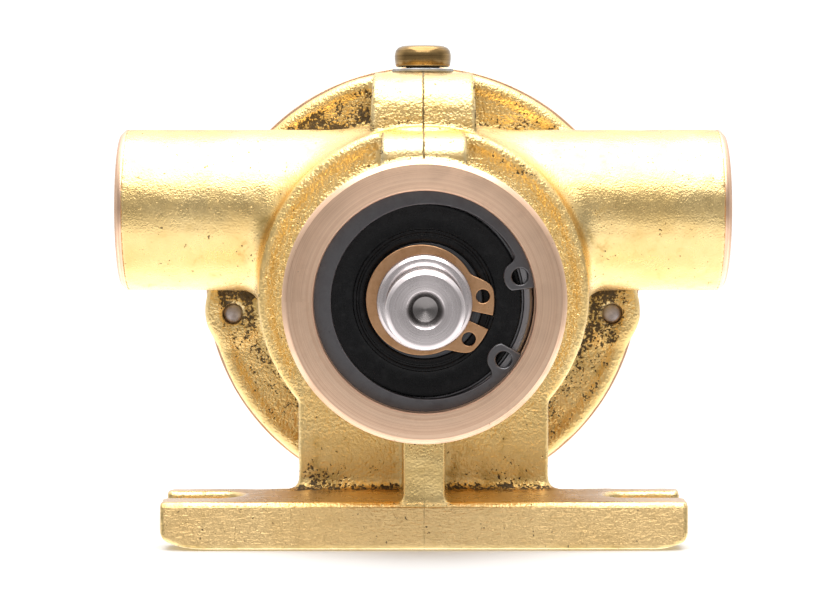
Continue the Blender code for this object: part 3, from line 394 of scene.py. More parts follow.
def stains_and_side_shade(points, normals):
    """Where old grime lies in patches on the flange, hub and web; painted shade beside the boss and its
    step.
    """
    x, depth, up = points.T
    radial = np.hypot(x, up)
    faces_front = ramp(-normals[:, 1], 0.5, 0.9)
    on_flange = faces_front * ramp(depth, 54, 55.5) * ramp(radial, 29, 31)
    on_flange *= 1 - ramp(radial, 35.5, 37.3)
    angle = np.degrees(np.arctan2(x, up))
    share = sum(most * patch(angle, middle, width) for middle, width, most in FLANGE_STAINS)
    web_face = faces_front * (depth > WEB_DEPTH - 1) * (depth < WEB_DEPTH + 1)
    on_web = ramp(-up, 24, 33) * patch(x, -17, 4) + 0.5 * ramp(-up, 26, 33) * patch(x, 12, 5)
    on_hub = faces_front * hub_face(depth, radial) * patch(angle, 37, 10) * ramp(radial, 24.8, 26)
    # Painted shade on the faces that look sideways beside the boss and its step.
    sideways = ramp(np.abs(normals[:, 0]), 0.35, 0.8) * (np.abs(x) < BOSS_HALF + 1)
    on_boss = sideways * (up > HUB_RADIUS - 1) * (depth < FLANGE_DEPTH)
    on_step = sideways * (radial > COLLAR_RADIUS) * (up > 18) * (depth < HUB_DEPTH + 0.5)
    # Darker along the foot's top where the web's front meets it.
    at_foot = ramp(up, FOOT_TOP - 0.4, FOOT_TOP) * (1 - ramp(up, FOOT_TOP + 0.3, FOOT_TOP + 1.2))
    at_foot *= (depth > WEB_DEPTH - 1.6) * (depth < WEB_DEPTH + 1) * (np.abs(x) < WEB_HALF)
    total = on_flange * share + web_face * on_web + 0.8 * on_hub + 0.7 * (on_boss + on_step) + at_foot
    return np.clip(total, 0, 1)


def hub_face(depth, radial):
    """1 on the hub's front face, fading out towards its edge."""
    edge = 1 - ramp(radial, HUB_RADIUS - 1.2, HUB_RADIUS)
    return ramp(depth, HUB_DEPTH - 1, HUB_DEPTH - 0.5) * (depth < HUB_DEPTH + 2) * edge


def mesh_of(name, points, faces):
    mesh = bpy.data.meshes.new(name)
    mesh.from_pydata(points, [], faces)
    mesh.shade_smooth()
    return mesh


def link(name, data, location=(0, 0, 0), turn=(0, 0, 0)):
    made = bpy.data.objects.new(name, data)
    made.location = location
    made.rotation_euler = turn
    bpy.context.scene.collection.objects.link(made)
    return made


def make_casting(look):
    margin = 2 * CELL
    low = (-PORT_END - margin, -margin, FOOT_BOTTOM - margin)
    high = (PORT_END + margin, FLANGE_BACK + margin, BOSS_TOP + 4 + margin)
    points, quads = surface_of(casting, low, high, CELL)
    normals = gradient(casting, points)
    normals /= np.linalg.norm(normals, axis=1)[:, None]
    x, depth, up = points.T
    radial = np.hypot(x, up)
    close = hollowness(points, normals, 1.6)
    wide = hollowness(points, normals, 5.0)
    marks = {
        # hollow darkens the brass in corners and recesses as painted shade, with some grime there too;
        # it is weaker on the hub's face
        "hollow": np.clip(0.75 * close + 0.6 * wide, 0, 1) * (1 - 0.85 * hub_face(depth, radial)),
        "tarnish": tarnish(points, normals),
        "ridge": ridges(points, normals, 1.2),
        "stain_and_shade": stains_and_side_shade(points, normals),
        "coarse": coarse_places(points, normals),
    }
    inner = (radial < CHAMBER_RADIUS + 0.5) & (depth > CHAMBER_DEPTH - 9)
    rough = np.where(inner | (up < FOOT_BOTTOM + 0.3) | (depth > FLANGE_BACK - 0.6), 0, 1)
    streaks = waves(points * (0.35, 1, 1), 2.4, 5)
    uneven = 0.035 * waves(points, 7, 1) + 0.022 * waves(points, 2.6, 2)
    uneven += marks["coarse"] * (0.05 * waves(points, 1.9, 3) + 0.05 * streaks)
    points = points + normals * (uneven * rough)[:, None]
    points[:, 0] = np.clip(points[:, 0], -PORT_END, PORT_END)
    points[:, 2] = np.clip(points[:, 2], FOOT_BOTTOM, None)
    placed = np.stack([points[:, 0], points[:, 1] + FACE_Y, points[:, 2] + SHAFT_HEIGHT], axis=1) * MM
    mesh = mesh_of("cast_body", placed, quads)
    for name, values in marks.items():
        attribute = mesh.attributes.new(name, "FLOAT", "POINT")
        attribute.data.foreach_set("value", values.astype(np.float32))
    mesh.materials.append(look)
    return link("cast_body", mesh)


def tarnish(points, normals):
    """Where the brass has gone brownish pink: the top of the foot."""
    x, depth, up = points.T
    on_top = ramp(normals[:, 2], 0.5, 0.95) * (up < FOOT_TOP + 0.5)
    return on_top * ramp(np.abs(x), 8, 26)


def coarse_places(points, normals):
    """Where the sand left its grain: the fronts of the foot, hub, web, flange and boss."""
    x, depth, up = points.T
    radial = np.hypot(x, up)
    faces_front = ramp(-normals[:, 1], 0.6, 0.95)
    on_foot = ramp(-up, -FOOT_TOP, -FOOT_TOP + 0.8) * (depth < FOOT_DEPTH + 1)
    below_hub = ramp(-up, 12, 24) * (np.abs(x) < WEB_HALF)
    on_hub = (0.75 - 0.25 * below_hub) * (depth < HUB_DEPTH + 2) * (depth > HUB_DEPTH - 1)
    on_flange = 0.6 * (depth > FLANGE_DEPTH - 1) * (radial > BARREL_RADIUS)
    on_boss = 0.5 * (up > 24) * (depth > HUB_DEPTH) * (np.abs(x) < BOSS_HALF)
    return faces_front * np.maximum.reduce([on_foot, on_hub, on_flange, on_boss])


# --- materials ---


class Look:
    """A node material, with short calls for what its surfaces need. Lengths are in mm."""

    def __init__(self, name, slot, metallic=1.0, anisotropic=0.0):
        self.material = bpy.data.materials.new(name)
        self.material.use_nodes = True
        self.tree = self.material.node_tree
        self.shader = self.tree.nodes["Principled BSDF"]
        self.shader.inputs["Metallic"].default_value = metallic
        self.shader.inputs["Anisotropic"].default_value = anisotropic
        self.slot = slot
        place = self.add("ShaderNodeTexCoord").outputs["Object"]
        scaled = self.add("ShaderNodeVectorMath", operation="SCALE")
        scaled.inputs["Scale"].default_value = 1 / MM
        self.join(place, scaled.inputs[0])
        self.place = scaled.outputs[0]

    def add(self, kind, **settings):
        made = self.tree.nodes.new(kind)
        for name, value in settings.items():
            setattr(made, name, value)
        return made

    def join(self, value, socket):
        if isinstance(value, bpy.types.NodeSocket):
            self.tree.links.new(value, socket)
        elif socket.type == "RGBA":
            socket.default_value = (*value, 1)
        else:
            socket.default_value = value

    def sum(self, operation, a, b=0.0, c=0.0):
        made = self.add("ShaderNodeMath", operation=operation)
        for value, socket in zip((a, b, c), made.inputs):
            self.join(value, socket)
        return made.outputs[0]

    def times(self, a, b):
        return self.sum("MULTIPLY", a, b)

    def plus(self, a, b):
        return self.sum("ADD", a, b)

    def noise(self, size, detail=3.0, roughness=0.55, stretch=(1, 1, 1), warp=0.0, place=None):
        """A noise whose spots are about this wide, from 0 to 1."""
        spread = self.add("ShaderNodeVectorMath", operation="MULTIPLY")
        self.join(place or self.place, spread.inputs[0])
        self.join(tuple(1 / (size * s) for s in stretch), spread.inputs[1])
        made = self.add("ShaderNodeTexNoise")
        self.join(spread.outputs[0], made.inputs["Vector"])
        settings = {"Scale": 1, "Detail": detail, "Roughness": roughness, "Distortion": warp}
        for name, value in settings.items():
            made.inputs[name].default_value = value
        return made.outputs["Fac"]

    def within(self, value, low, high, start=0.0, end=1.0):
        """start below low, end above high, smooth between them."""
        made = self.add("ShaderNodeMapRange", interpolation_type="SMOOTHSTEP")
        for given, socket in zip((value, low, high, start, end), made.inputs):
            self.join(given, socket)
        return made.outputs[0]

    def mix(self, a, b, share):
        made = self.add("ShaderNodeMix", data_type="RGBA")
        self.join(share, made.inputs[0])
        self.join(a, made.inputs[6])
        self.join(b, made.inputs[7])
        return made.outputs[2]

    def mark(self, name):
        return self.add("ShaderNodeAttribute", attribute_name=name).outputs["Fac"]

    def split(self, vector):
        made = self.add("ShaderNodeSeparateXYZ")
        self.join(vector, made.inputs[0])
        return made.outputs

    def radius(self):
        """Distance from the piece's own Z axis, which is its turning axis."""
        x, y, _ = self.split(self.place)
        return self.sum("SQRT", self.plus(self.times(x, x), self.times(y, y)))

    def turning(self, pitch, swirl=0.04):
        """Fine tool marks around the turning axis, from 0 to 1."""
        x, y, z = self.split(self.place)
        lined = self.add("ShaderNodeCombineXYZ")
        self.join(self.radius(), lined.inputs[0])
        self.join(z, lined.inputs[1])
        around = self.times(self.sum("ARCTAN2", y, x), swirl)
        self.join(around, lined.inputs[2])
        return self.noise(pitch, 4, 0.7, place=lined.outputs[0])

    def bump(self, height, depth, under=None):
        """Relief of this depth from a height of 0 to 1, on top of another relief."""
        made = self.add("ShaderNodeBump")
        made.inputs["Distance"].default_value = depth * MM
        self.join(height, made.inputs["Height"])
        if under:
            self.join(under, made.inputs["Normal"])
        return made.outputs[0]

    def finish(self, colour, roughness, normal, metallic=None):
        self.join(colour, self.shader.inputs["Base Color"])
        self.join(roughness, self.shader.inputs["Roughness"])
        self.join(normal, self.shader.inputs["Normal"])
        if metallic is not None:
            self.join(metallic, self.shader.inputs["Metallic"])
        return self


def cast_brass():
    look = Look("cast brass", "cast_brass")
    hollow, ridge = look.mark("hollow"), look.mark("ridge")
    stain_and_shade, coarse = look.mark("stain_and_shade"), look.mark("coarse")
    x, y, z = look.split(look.place)

    broad = look.noise(14, 3, 0.6)
    clouds = look.noise(3.2, 4, 0.65, warp=0.4)
    grain = look.noise(0.3, 2, 0.5)
    sand = look.noise(0.52, 2, 0.5)
    blotch = look.plus(look.noise(0.5, 2, 0.6), look.noise(2.0, 3, 0.6))
    blotch = look.times(blotch, 0.5)
    specks = look.noise(0.8, 2, 0.5)
    streaks = look.noise(0.42, 3, 0.6, stretch=(5, 1, 1))

    gold = look.mix((0.85, 0.595, 0.24), (0.90, 0.665, 0.305), look.within(broad, 0.35, 0.65))
    gold = look.mix(gold, (0.70, 0.48, 0.15), look.within(clouds, 0.52, 0.85, 0, 0.5))
    # Cream on edges that stand out: edge wear, and a painted highlight.
    gold = look.mix(gold, (0.94, 0.78, 0.46), look.within(ridge, 0.25, 0.8, 0, 0.7))
    gold = look.mix(gold, (0.54, 0.36, 0.17), look.within(coarse, 0.85, 1.0, 0, 0.65))
    gold = look.mix(gold, (0.72, 0.51, 0.37), look.times(look.mark("tarnish"), 0.8))

    # Browner where grime lies and, as painted shade, in hollows and beside the boss and its step.
    dirt_and_hollow_shade = look.plus(look.times(hollow, 0.3), look.times(stain_and_shade, 0.24))
    film_and_shade = look.within(look.plus(dirt_and_hollow_shade, clouds), 0.62, 0.95, 0, 0.6)
    colour = look.mix(gold, (0.38, 0.25, 0.07), film_and_shade)
    # The darkest spots go black: the blotches, pushed further by grime and by painted shade in hollows.
    settled_dirt_and_shade = look.plus(look.times(hollow, 0.09), look.times(stain_and_shade, 0.185))
    black = look.within(look.plus(settled_dirt_and_shade, blotch), 0.655, 0.735, 0, 0.92)
    pits = look.within(specks, 0.71, 0.76)
    waver = look.plus(x, look.sum("MULTIPLY_ADD", sand, 0.5, -0.25))
    seam = look.within(look.sum("ABSOLUTE", waver), 0.05, 0.26, 1, 0)
    seam = look.times(seam, look.within(z, SHAFT_HEIGHT + 20, SHAFT_HEIGHT + 21))
    seam = look.times(seam, look.within(clouds, 0.3, 0.5, 0.35, 0.9))
    dark = look.sum("MAXIMUM", black, look.sum("MAXIMUM", look.times(pits, 0.8), seam))
    soot_and_shade = look.mix((0.085, 0.052, 0.02), (0.03, 0.02, 0.012), look.within(blotch, 0.45, 0.65))
    colour = look.mix(colour, soot_and_shade, dark)

    roughness = look.within(clouds, 0.3, 0.75, 0.24, 0.38)
    roughness = look.plus(roughness, look.times(coarse, 0.08))
    roughness = look.plus(roughness, look.times(dark, 0.3))
    metal = look.within(dark, 0.2, 1, 1, 0.35)

    normal = look.bump(grain, 0.07)
    normal = look.bump(look.times(sand, look.sum("MULTIPLY_ADD", coarse, 0.9, 0.14)), 0.3, normal)
    streaked = look.times(streaks, look.within(coarse, 0.8, 1.0))
    normal = look.bump(streaked, 0.4, normal)
    parting = look.within(x, -0.15, 0.2, 1, 0)
    normal = look.bump(parting, 0.14, normal)
    normal = look.bump(look.sum("SUBTRACT", 1.0, dark), 0.08, normal)
    return look.finish(colour, roughness, normal, metal)


def turned_metal(name, slot, light, shade, roughness, marks=0.012, pitch=0.22, grease=None):
    """A turned face: tool rings, faint clouding and spots.

    grease is the radius and the height of the mouth of a hole to darken.
    """
    look = Look(name, slot, anisotropic=0.5)
    tangent = look.add("ShaderNodeTangent", direction_type="RADIAL", axis="Z")
    look.join(tangent.outputs[0], look.shader.inputs["Tangent"])
    look.shader.inputs["Anisotropic Rotation"].default_value = 0.25
    rings = look.turning(pitch)
    wide_rings = look.turning(pitch * 6)
    clouds = look.noise(4.0, 4, 0.6)
    spots = look.noise(0.5, 2, 0.5)
    share = look.plus(look.times(rings, 0.65), look.times(wide_rings, 0.35))
    colour = look.mix(light, shade, look.within(share, 0.35, 0.65))
    colour = look.mix(colour, tuple(c * 0.75 for c in shade), look.within(clouds, 0.5, 0.8, 0, 0.45))
    colour = look.mix(colour, tuple(c * 0.35 for c in shade), look.within(spots, 0.74, 0.8, 0, 0.7))
    rough = look.within(look.plus(clouds, rings), 0.6, 1.4, roughness * 0.8, roughness * 1.25)
    if grease:
        radius, mouth = grease
        _, _, along = look.split(look.place)
        across = look.within(look.radius(), radius, radius + 0.15, 1, 0)
        share = look.times(across, look.within(along, mouth, mouth + 0.5))
        colour = look.mix(colour, (0.25, 0.23, 0.225), share)
    normal = look.bump(rings, marks)
    normal = look.bump(wide_rings, marks * 1.5, normal)
    return look.finish(colour, rough, normal)


def plain_metal(name, slot, light, shade, roughness, relief=0.01):
    """A blanked, ground or plated surface: mottled, with a fine grain and worn spots."""
    look = Look(name, slot)
    clouds = look.noise(2.2, 4, 0.65, warp=0.3)
    grain = look.noise(0.25, 3, 0.6)
    worn = look.noise(0.9, 4, 0.7)
    colour = look.mix(light, shade, look.within(clouds, 0.35, 0.7))
    colour = look.mix(colour, tuple(c * 0.4 for c in shade), look.within(worn, 0.64, 0.78, 0, 0.6))
    rough = look.within(look.plus(clouds, grain), 0.7, 1.3, roughness * 0.8, roughness * 1.3)
    return look.finish(colour, rough, look.bump(grain, relief))


def rubber(name, slot, colour, roughness, relief):
    look = Look(name, slot, metallic=0.0)
    look.shader.inputs["Specular IOR Level"].default_value = 0.25
    skin = look.noise(0.35, 3, 0.6)
    dust = look.noise(1.4, 4, 0.7)
    specks = look.noise(0.4, 2, 0.5)
    dusty = tuple(min(1, c * 2.4 + 0.01) for c in colour)
    shade = look.mix(colour, dusty, look.within(dust, 0.5, 0.85, 0, 0.8))
    shade = look.mix(shade, (0.16, 0.15, 0.15), look.within(specks, 0.78, 0.82, 0, 0.3))
    rough = look.within(dust, 0.3, 0.8, roughness * 0.8, roughness * 1.4)
    normal = look.bump(look.turning(0.35), relief * 0.8)
    return look.finish(shade, rough, look.bump(skin, relief, normal))


def paper():
    look = Look("gasket paper", "gasket_paper", metallic=0.0)
    fibres = look.noise(0.3, 4, 0.7)
    colour = look.mix((0.13, 0.12, 0.10), (0.26, 0.24, 0.19), look.within(fibres, 0.3, 0.7))
    return look.finish(colour, look.within(fibres, 0.2, 0.8, 0.8, 0.95), look.bump(fibres, 0.02))


# --- turned pieces ---


def eased(profile, radius, closed=True, steps=3):
    """The profile with each corner turned into an arc that touches both its sides."""
    found = []
    count = len(profile)
    for k, corner in enumerate(profile):
        here = Vector(corner)
        if not closed and k in (0, count - 1):
            found.append(here)
            continue
        before = Vector(profile[k - 1]) - here
        after = Vector(profile[(k + 1) % count]) - here
        reach = min(radius, 0.45 * before.length, 0.45 * after.length)
        if before.angle(after) > math.radians(150):
            reach = 0
        if reach < 0.01:
            found.append(here)
            continue
        start = here + before.normalized() * reach
        end = here + after.normalized() * reach
        for step in range(steps + 1):
            t = step / steps
            found.append(start * (1 - t) ** 2 + here * 2 * t * (1 - t) + end * t**2)
    return found


def spun(name, profile, look, segments=96, closed=True, shift=None):
    """A mesh turned about its own Z from (radius, along) points.

    shift(angle, along, radius) adds to a radius.
    """
    points = []
    faces = []
    count = len(profile)
    for k in range(segments):
        angle = 2 * math.pi * k / segments
        for radius, along in profile:
            if shift:
                radius += shift(angle, along, radius)
            points.append((radius * math.cos(angle) * MM, radius * math.sin(angle) * MM, along * MM))
    for k in range(segments):
        here = k * count
        there = (k + 1) % segments * count
        for i in range(count if closed else count - 1):
            j = (i + 1) % count
            faces.append((here + i, there + i, there + j, here + j))
    mesh = mesh_of(name, points, faces)
    tidy = bmesh.new()
    tidy.from_mesh(mesh)
    bmesh.ops.remove_doubles(tidy, verts=tidy.verts, dist=0.001 * MM)
    bmesh.ops.recalc_face_normals(tidy, faces=tidy.faces)
    tidy.to_mesh(mesh)
    tidy.free()
    mesh.shade_smooth()
    mesh.set_sharp_from_angle(angle=math.radians(50))
    mesh.materials.append(look.material)
    return mesh


BACKWARDS = (-math.pi / 2, 0, 0)  # a piece's own Z runs back along the shaft


def on_shaft(depth=0.0, x=0.0, up=0.0):
    """A place in the row frame, in metres, from x, depth and up."""
    return Vector((x, FACE_Y + depth, SHAFT_HEIGHT + up)) * MM


def show(piece, body, look, *nodes):
    """piece rides on a body and stands for the CAD nodes, which are hidden; look is not used."""
    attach(piece, body)
    if nodes:
        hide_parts(*nodes)
    return piece


def ring_piece(name, profile, look, body, nodes, ease=0.12, segments=128, depth=0.0, x=0.0, up=0.0):
    """A closed ring about a line parallel to the shaft, from a profile of (radius, depth)."""
    mesh = spun(name, eased(profile, ease), look, segments)
    return show(link(name, mesh, on_shaft(depth, x, up), BACKWARDS), body, look, *nodes)


def bar_piece(name, profile, look, body, nodes, ease=0.12, segments=96, depth=0.0, x=0.0, up=0.0):
    """A solid bar about a line parallel to the shaft. Its profile starts and ends on the axis."""
    mesh = spun(name, eased(profile, ease, closed=False), look, segments, closed=False)
    return show(link(name, mesh, on_shaft(depth, x, up), BACKWARDS), body, look, *nodes)


def notched(name, mesh, look, low, high):
    """The mesh without a straight slot, given as a box in its own millimetres."""
    blank = link(name, mesh)
    tool = bmesh.new()
    bmesh.ops.create_cube(tool, size=1)
    size = [b - a for a, b in zip(low, high)]
    middle = [(a + b) / 2 for a, b in zip(low, high)]
    bmesh.ops.scale(tool, vec=[s * MM for s in size], verts=tool.verts)
    bmesh.ops.translate(tool, vec=[m * MM for m in middle], verts=tool.verts)
    tool_mesh = bpy.data.meshes.new("slot")
    tool.to_mesh(tool_mesh)
    tool.free()
    cutter = link("slot", tool_mesh)
    step = blank.modifiers.new("slot", "BOOLEAN")
    step.operation = "DIFFERENCE"
    step.object = cutter
    step.solver = "EXACT"
    edge = blank.modifiers.new("edge", "BEVEL")
    edge.width = 0.08 * MM
    edge.segments = 2
    edge.angle_limit = math.radians(40)
    made = bpy.data.meshes.new_from_object(blank.evaluated_get(bpy.context.evaluated_depsgraph_get()))
    made.shade_smooth()
    made.set_sharp_from_angle(angle=math.radians(50))
    for used in (blank, cutter):
        bpy.data.objects.remove(used, do_unlink=True)
    return made


# --- circlips ---


def off_centre(angle, radius, offset, direction):
    across = angle - direction
    return offset * math.cos(across) + math.sqrt(radius**2 - (offset * math.sin(across)) ** 2)


def clip_loop(inside, outside, gap_middle, gap_half, steps=240):
    outer, inner = [], []
    for k in range(steps + 1):
        away = gap_half + (2 * math.pi - 2 * gap_half) * k / steps
        angle = gap_middle + away
        from_gap = min(away, 2 * math.pi - away)
        for edge, found in ((outside, outer), (inside, inner)):
            radius = edge(angle, from_gap)
            found.append((radius * math.cos(angle), radius * math.sin(angle)))
    return outer + inner[::-1]


def circle(centre, radius, steps=32):
    turns = [2 * math.pi * k / steps for k in range(steps)]
    return [(centre[0] + radius * math.cos(t), centre[1] + radius * math.sin(t)) for t in turns]


def stamped(name, loops, thickness, edge, look, body, node, depth):
    """A flat stamping from its outline and holes, with rolled edges. It faces the drive end."""
    curve = bpy.data.curves.new(name, "CURVE")
    curve.dimensions = "2D"
    curve.fill_mode = "BOTH"
    curve.extrude = (thickness / 2 - edge) * MM
    curve.bevel_depth = edge * MM
    curve.bevel_resolution = 2
    curve.offset = -edge * MM
    for loop in loops:
        spline = curve.splines.new("POLY")
        spline.points.add(len(loop) - 1)
        for point, (a, b) in zip(spline.points, loop):
            point.co = (a * MM, b * MM, 0, 1)
        spline.use_cyclic_u = True
    blank = link(name, curve)
    mesh = bpy.data.meshes.new_from_object(blank.evaluated_get(bpy.context.evaluated_depsgraph_get()))
    bpy.data.objects.remove(blank, do_unlink=True)
    mesh.shade_smooth()
    mesh.set_sharp_from_angle(angle=math.radians(35))
    mesh.materials.clear()
    mesh.materials.append(look.material)
    piece = link(name, mesh, on_shaft(depth + thickness / 2), (math.pi / 2, 0, 0))
    return show(piece, body, look, node)


LUG_FLARE = 34  # how fast a lug of the bore clip runs out into its arm, in mm per radian


def make_bore_clip(look):
    gap_middle, gap_half = math.radians(-11), math.radians(17.7)
    lug_angle = gap_half + math.radians(7.8)
    hole_place = BEARING_BORE - 1.85
    lug_radius = 2.65

    def outside(angle, from_gap):
        return BEARING_BORE + 0.75

    def inside(angle, from_gap):
        plain = off_centre(angle, BEARING_BORE - 2.05, 0.7, gap_middle)
        off = abs(from_gap - lug_angle)
        reach = math.asin(lug_radius / hole_place)
        if off >= reach:
            lug = hole_place * math.cos(reach) + LUG_FLARE * (off - reach)
        else:
            half = math.sqrt(lug_radius**2 - (hole_place * math.sin(off)) ** 2)
            lug = hole_place * math.cos(off) - half
        if from_gap <= lug_angle:
            return min(plain, lug)
        return float(join(np.float64(plain), np.float64(lug), 1.4))

    holes = []
    for side in (-1, 1):
        angle = gap_middle + side * lug_angle
        holes.append(circle((hole_place * math.cos(angle), hole_place * math.sin(angle)), 1.3))
    loop = clip_loop(inside, outside, gap_middle, gap_half)
    return stamped("bore_clip", [loop, *holes], 1.5, 0.22, look, "housing", "bore_circlip", 3.2)


def make_shaft_clip(look):
    gap_middle, gap_half = math.radians(-18), math.radians(6)
    lug_angle = math.radians(22.6)

    def inside(angle, from_gap):
        return 7.1

    def outside(angle, from_gap):
        plain = off_centre(angle, 8.8, -0.5, gap_middle)
        ear = 1 - ramp(from_gap, lug_angle + math.radians(4), lug_angle + math.radians(28))
        return plain + (11.1 - plain) * ear

    holes = []
    for side in (-1, 1):
        angle = gap_middle + side * lug_angle
        holes.append(circle((9.3 * math.cos(angle), 9.3 * math.sin(angle)), 1.1))
    loop = clip_loop(inside, outside, gap_middle, gap_half)
    return stamped("shaft_clip", [loop, *holes], 1.0, 0.13, look, "rotor", "shaft_circlip", 3.7)


# --- pieces ---


def make_collar(look):
    """The collar's turned end, with the circlip's groove in its bore."""
    profile = [
        (BEARING_BORE + 0.2, 0), (COLLAR_RADIUS - 0.8, 0), (COLLAR_RADIUS, 0.8),
        (COLLAR_RADIUS, 9.0), (COLLAR_RADIUS - 0.6, 9.3), (BEARING_BORE + 0.2, 9.3),
        (BEARING_BORE, 9.3), (BEARING_BORE, 5.0), (BEARING_BORE + 1.0, 5.0),
        (BEARING_BORE + 1.0, 2.9), (BEARING_BORE, 2.9), (BEARING_BORE, 0.2),
    ]
    return ring_piece("collar_face", profile, look, "housing", ["pump_body"], 0.1, 192)


def thread_shift(angle, along, radius):
    """A helical thread of 1.8 mm pitch in the port's bore, which runs in from the mouth."""
    if radius > PORT_BORE + 0.85 or not 1.2 < along < THREAD_LENGTH - 0.5:
        return 0
    turn = (along / 1.8 - angle / (2 * math.pi)) % 1
    depth = min(along - 1.2, THREAD_LENGTH - 0.5 - along, 1)
    return 0.75 * depth * (1 - abs(2 * turn - 1))


def make_port_end(name, side, look):
    """A port's turned end and its threaded bore. Its own Z points into the port."""
    steps = 92
    bore = [(PORT_BORE, 0.9 + (THREAD_LENGTH - 0.9) * k / steps) for k in range(steps + 1)]
    profile = [
        *bore, (PORT_BORE + 1.3, THREAD_LENGTH), (PORT_BORE + 1.3, 3.0),
        (PORT_RADIUS - 0.6, 3.0), (PORT_RADIUS - 0.6, 1.35), (PORT_RADIUS - 0.02, 1.2),
        (PORT_RADIUS - 0.02, 0.9), (PORT_RADIUS - 0.9, 0), (PORT_BORE + 0.9, 0),
    ]
    mesh = spun(name, [Vector(p) for p in profile], look, 96, shift=thread_shift)
    place = Vector((side * PORT_END, FACE_Y + PORT_DEPTH, SHAFT_HEIGHT + PORT_RISE)) * MM
    piece = link(name, mesh, place, (0, -side * math.pi / 2, 0))
    return show(piece, "housing", look, "pump_body")


def make_flange_rim(look):
    """The flange's turned edge and the face that the cover bolts against."""
    profile = [
        (CHAMBER_RADIUS + 0.02, FLANGE_BACK), (FLANGE_RADIUS - 0.15, FLANGE_BACK),
        (FLANGE_RADIUS, FLANGE_BACK - 0.15), (FLANGE_RADIUS, FLANGE_DEPTH + 2.1),
        (FLANGE_RADIUS - 0.1, FLANGE_DEPTH + 2.0), (FLANGE_RADIUS - 1.2, FLANGE_DEPTH + 2.0),
        (FLANGE_RADIUS - 1.2, FLANGE_BACK - 0.4), (CHAMBER_RADIUS + 0.02, FLANGE_BACK - 0.4),
    ]
    return ring_piece("flange_rim", profile, look, "housing", ["pump_body"], 0.05, 256)


def make_cover(look, gasket_look):
    radius = FLANGE_RADIUS
    thickness = cover_high.y - cover_low.y
    profile = [
        (0, 0), (radius, 0), (radius, thickness - 0.5), (radius - 0.5, thickness),
        (radius - 9.5, thickness), (radius - 9.9, thickness - 0.12), (8.0, thickness - 0.12),
        (7.6, thickness), (0, thickness),
    ]
    bar_piece("cover_plate", profile, look, "housing", ["end_cover"], 0.15, 256, cover_low.y - FACE_Y)
    inner, outer = CHAMBER_RADIUS + 0.3, (gasket_high.x - gasket_low.x) / 2
    depths = (gasket_low.y - FACE_Y, gasket_high.y - FACE_Y)
    profile = [(inner, depths[0]), (outer, depths[0]), (outer, depths[1]), (inner, depths[1])]
    ring_piece("gasket_ring", profile, gasket_look, "housing", ["cover_gasket"], 0.08, 192)


def make_cover_screws(look):
    low, high = box_mm("cover_screw_1")
    head = 2.6
    shank = high.y - low.y - head
    profile = [
        (0, -shank), (0.9, -shank + 0.05), (1.5, -shank + 0.25), (SCREW_RADIUS, -shank + 0.7),
        (SCREW_RADIUS, 0), (3.5, 0), (3.5, head - 0.55), (3.15, head - 0.1), (0, head),
    ]
    blank = spun("cover_screw", eased(profile, 0.25, closed=False), look, 48, closed=False)
    mesh = notched("cover_screw", blank, look, (-5, -0.6, head - 1.15), (5, 0.6, head + 1))
    for number, (x, up) in enumerate(SCREW_PLACES, 1):
        place = on_shaft(high.y - head - FACE_Y, x, up)
        turn = Euler(BACKWARDS).to_matrix() @ Matrix.Rotation(number * 1.9, 3, "Z")
        piece = link(f"cover_screw_{number}_shown", mesh, place, turn.to_euler())
        show(piece, "housing", look, f"cover_screw_{number}")


def make_cam_screw(look, washer_look):
    height = 3.7
    bottom = head_high.z - height
    tip = head_low.z - bottom
    profile = [
        (0, tip), (2.5, tip), (2.85, tip + 0.4), (2.85, 0), (4.6, 0), (4.8, 0.4), (4.95, 1.4),
        (4.95, 2.1), (4.8, 2.85), (4.35, 3.4), (3.6, height), (0, height),
    ]
    blank = spun("cam_screw_head", eased(profile, 0.3, closed=False), look, 96, closed=False)
    mesh = notched("cam_screw_head", blank, look, (-6, -0.6, height - 1.2), (6, 0.6, height + 1))
    place = Vector((0, FACE_Y + CAM_DEPTH, bottom)) * MM
    show(link("cam_screw_head", mesh, place), "housing", look, "cam_screw")

    outer = (washer_high.x - washer_low.x) / 2
    thickness = washer_high.z - washer_low.z
    inner = CAM_HOLE_RADIUS
    ring = [(inner, 0), (outer, 0), (outer, thickness), (inner, thickness)]
    mesh = spun("cam_screw_washer", eased(ring, 0.15), washer_look, 96)
    place = Vector((0, FACE_Y + CAM_DEPTH, washer_low.z)) * MM
    show(link("cam_screw_washer", mesh, place), "housing", washer_look, "cam_washer")


def make_shaft(look):
    end, shoulder = shaft_low.y - FACE_Y, -2.3
    back = shaft_high.y - FACE_Y
    profile = [
        (0, end + 3.1), (0.35, end + 2.95), (1.95, end + 2.5), (1.95, end + 1.1), (2.9, end),
        (5.35, end), (6.0, end + 0.65), (6.0, end + 2.2), (5.94, end + 2.25), (5.94, end + 2.6),
        (6.0, end + 2.65), (6.0, shoulder - 0.6), (6.12, shoulder - 0.18), (6.6, shoulder),
        (7.0, shoulder), (7.5, shoulder + 0.5), (7.5, 3.4), (6.9, 3.4), (6.9, 5.0), (7.5, 5.0),
        (7.5, 30.6), (9.2, 30.6), (9.2, 31.8), (6.0, 31.8), (6.0, back - 0.6), (5.4, back),
        (0, back),
    ]
    bar_piece("drive_shaft", profile, look, "rotor", ["shaft"], 0.1, 128)


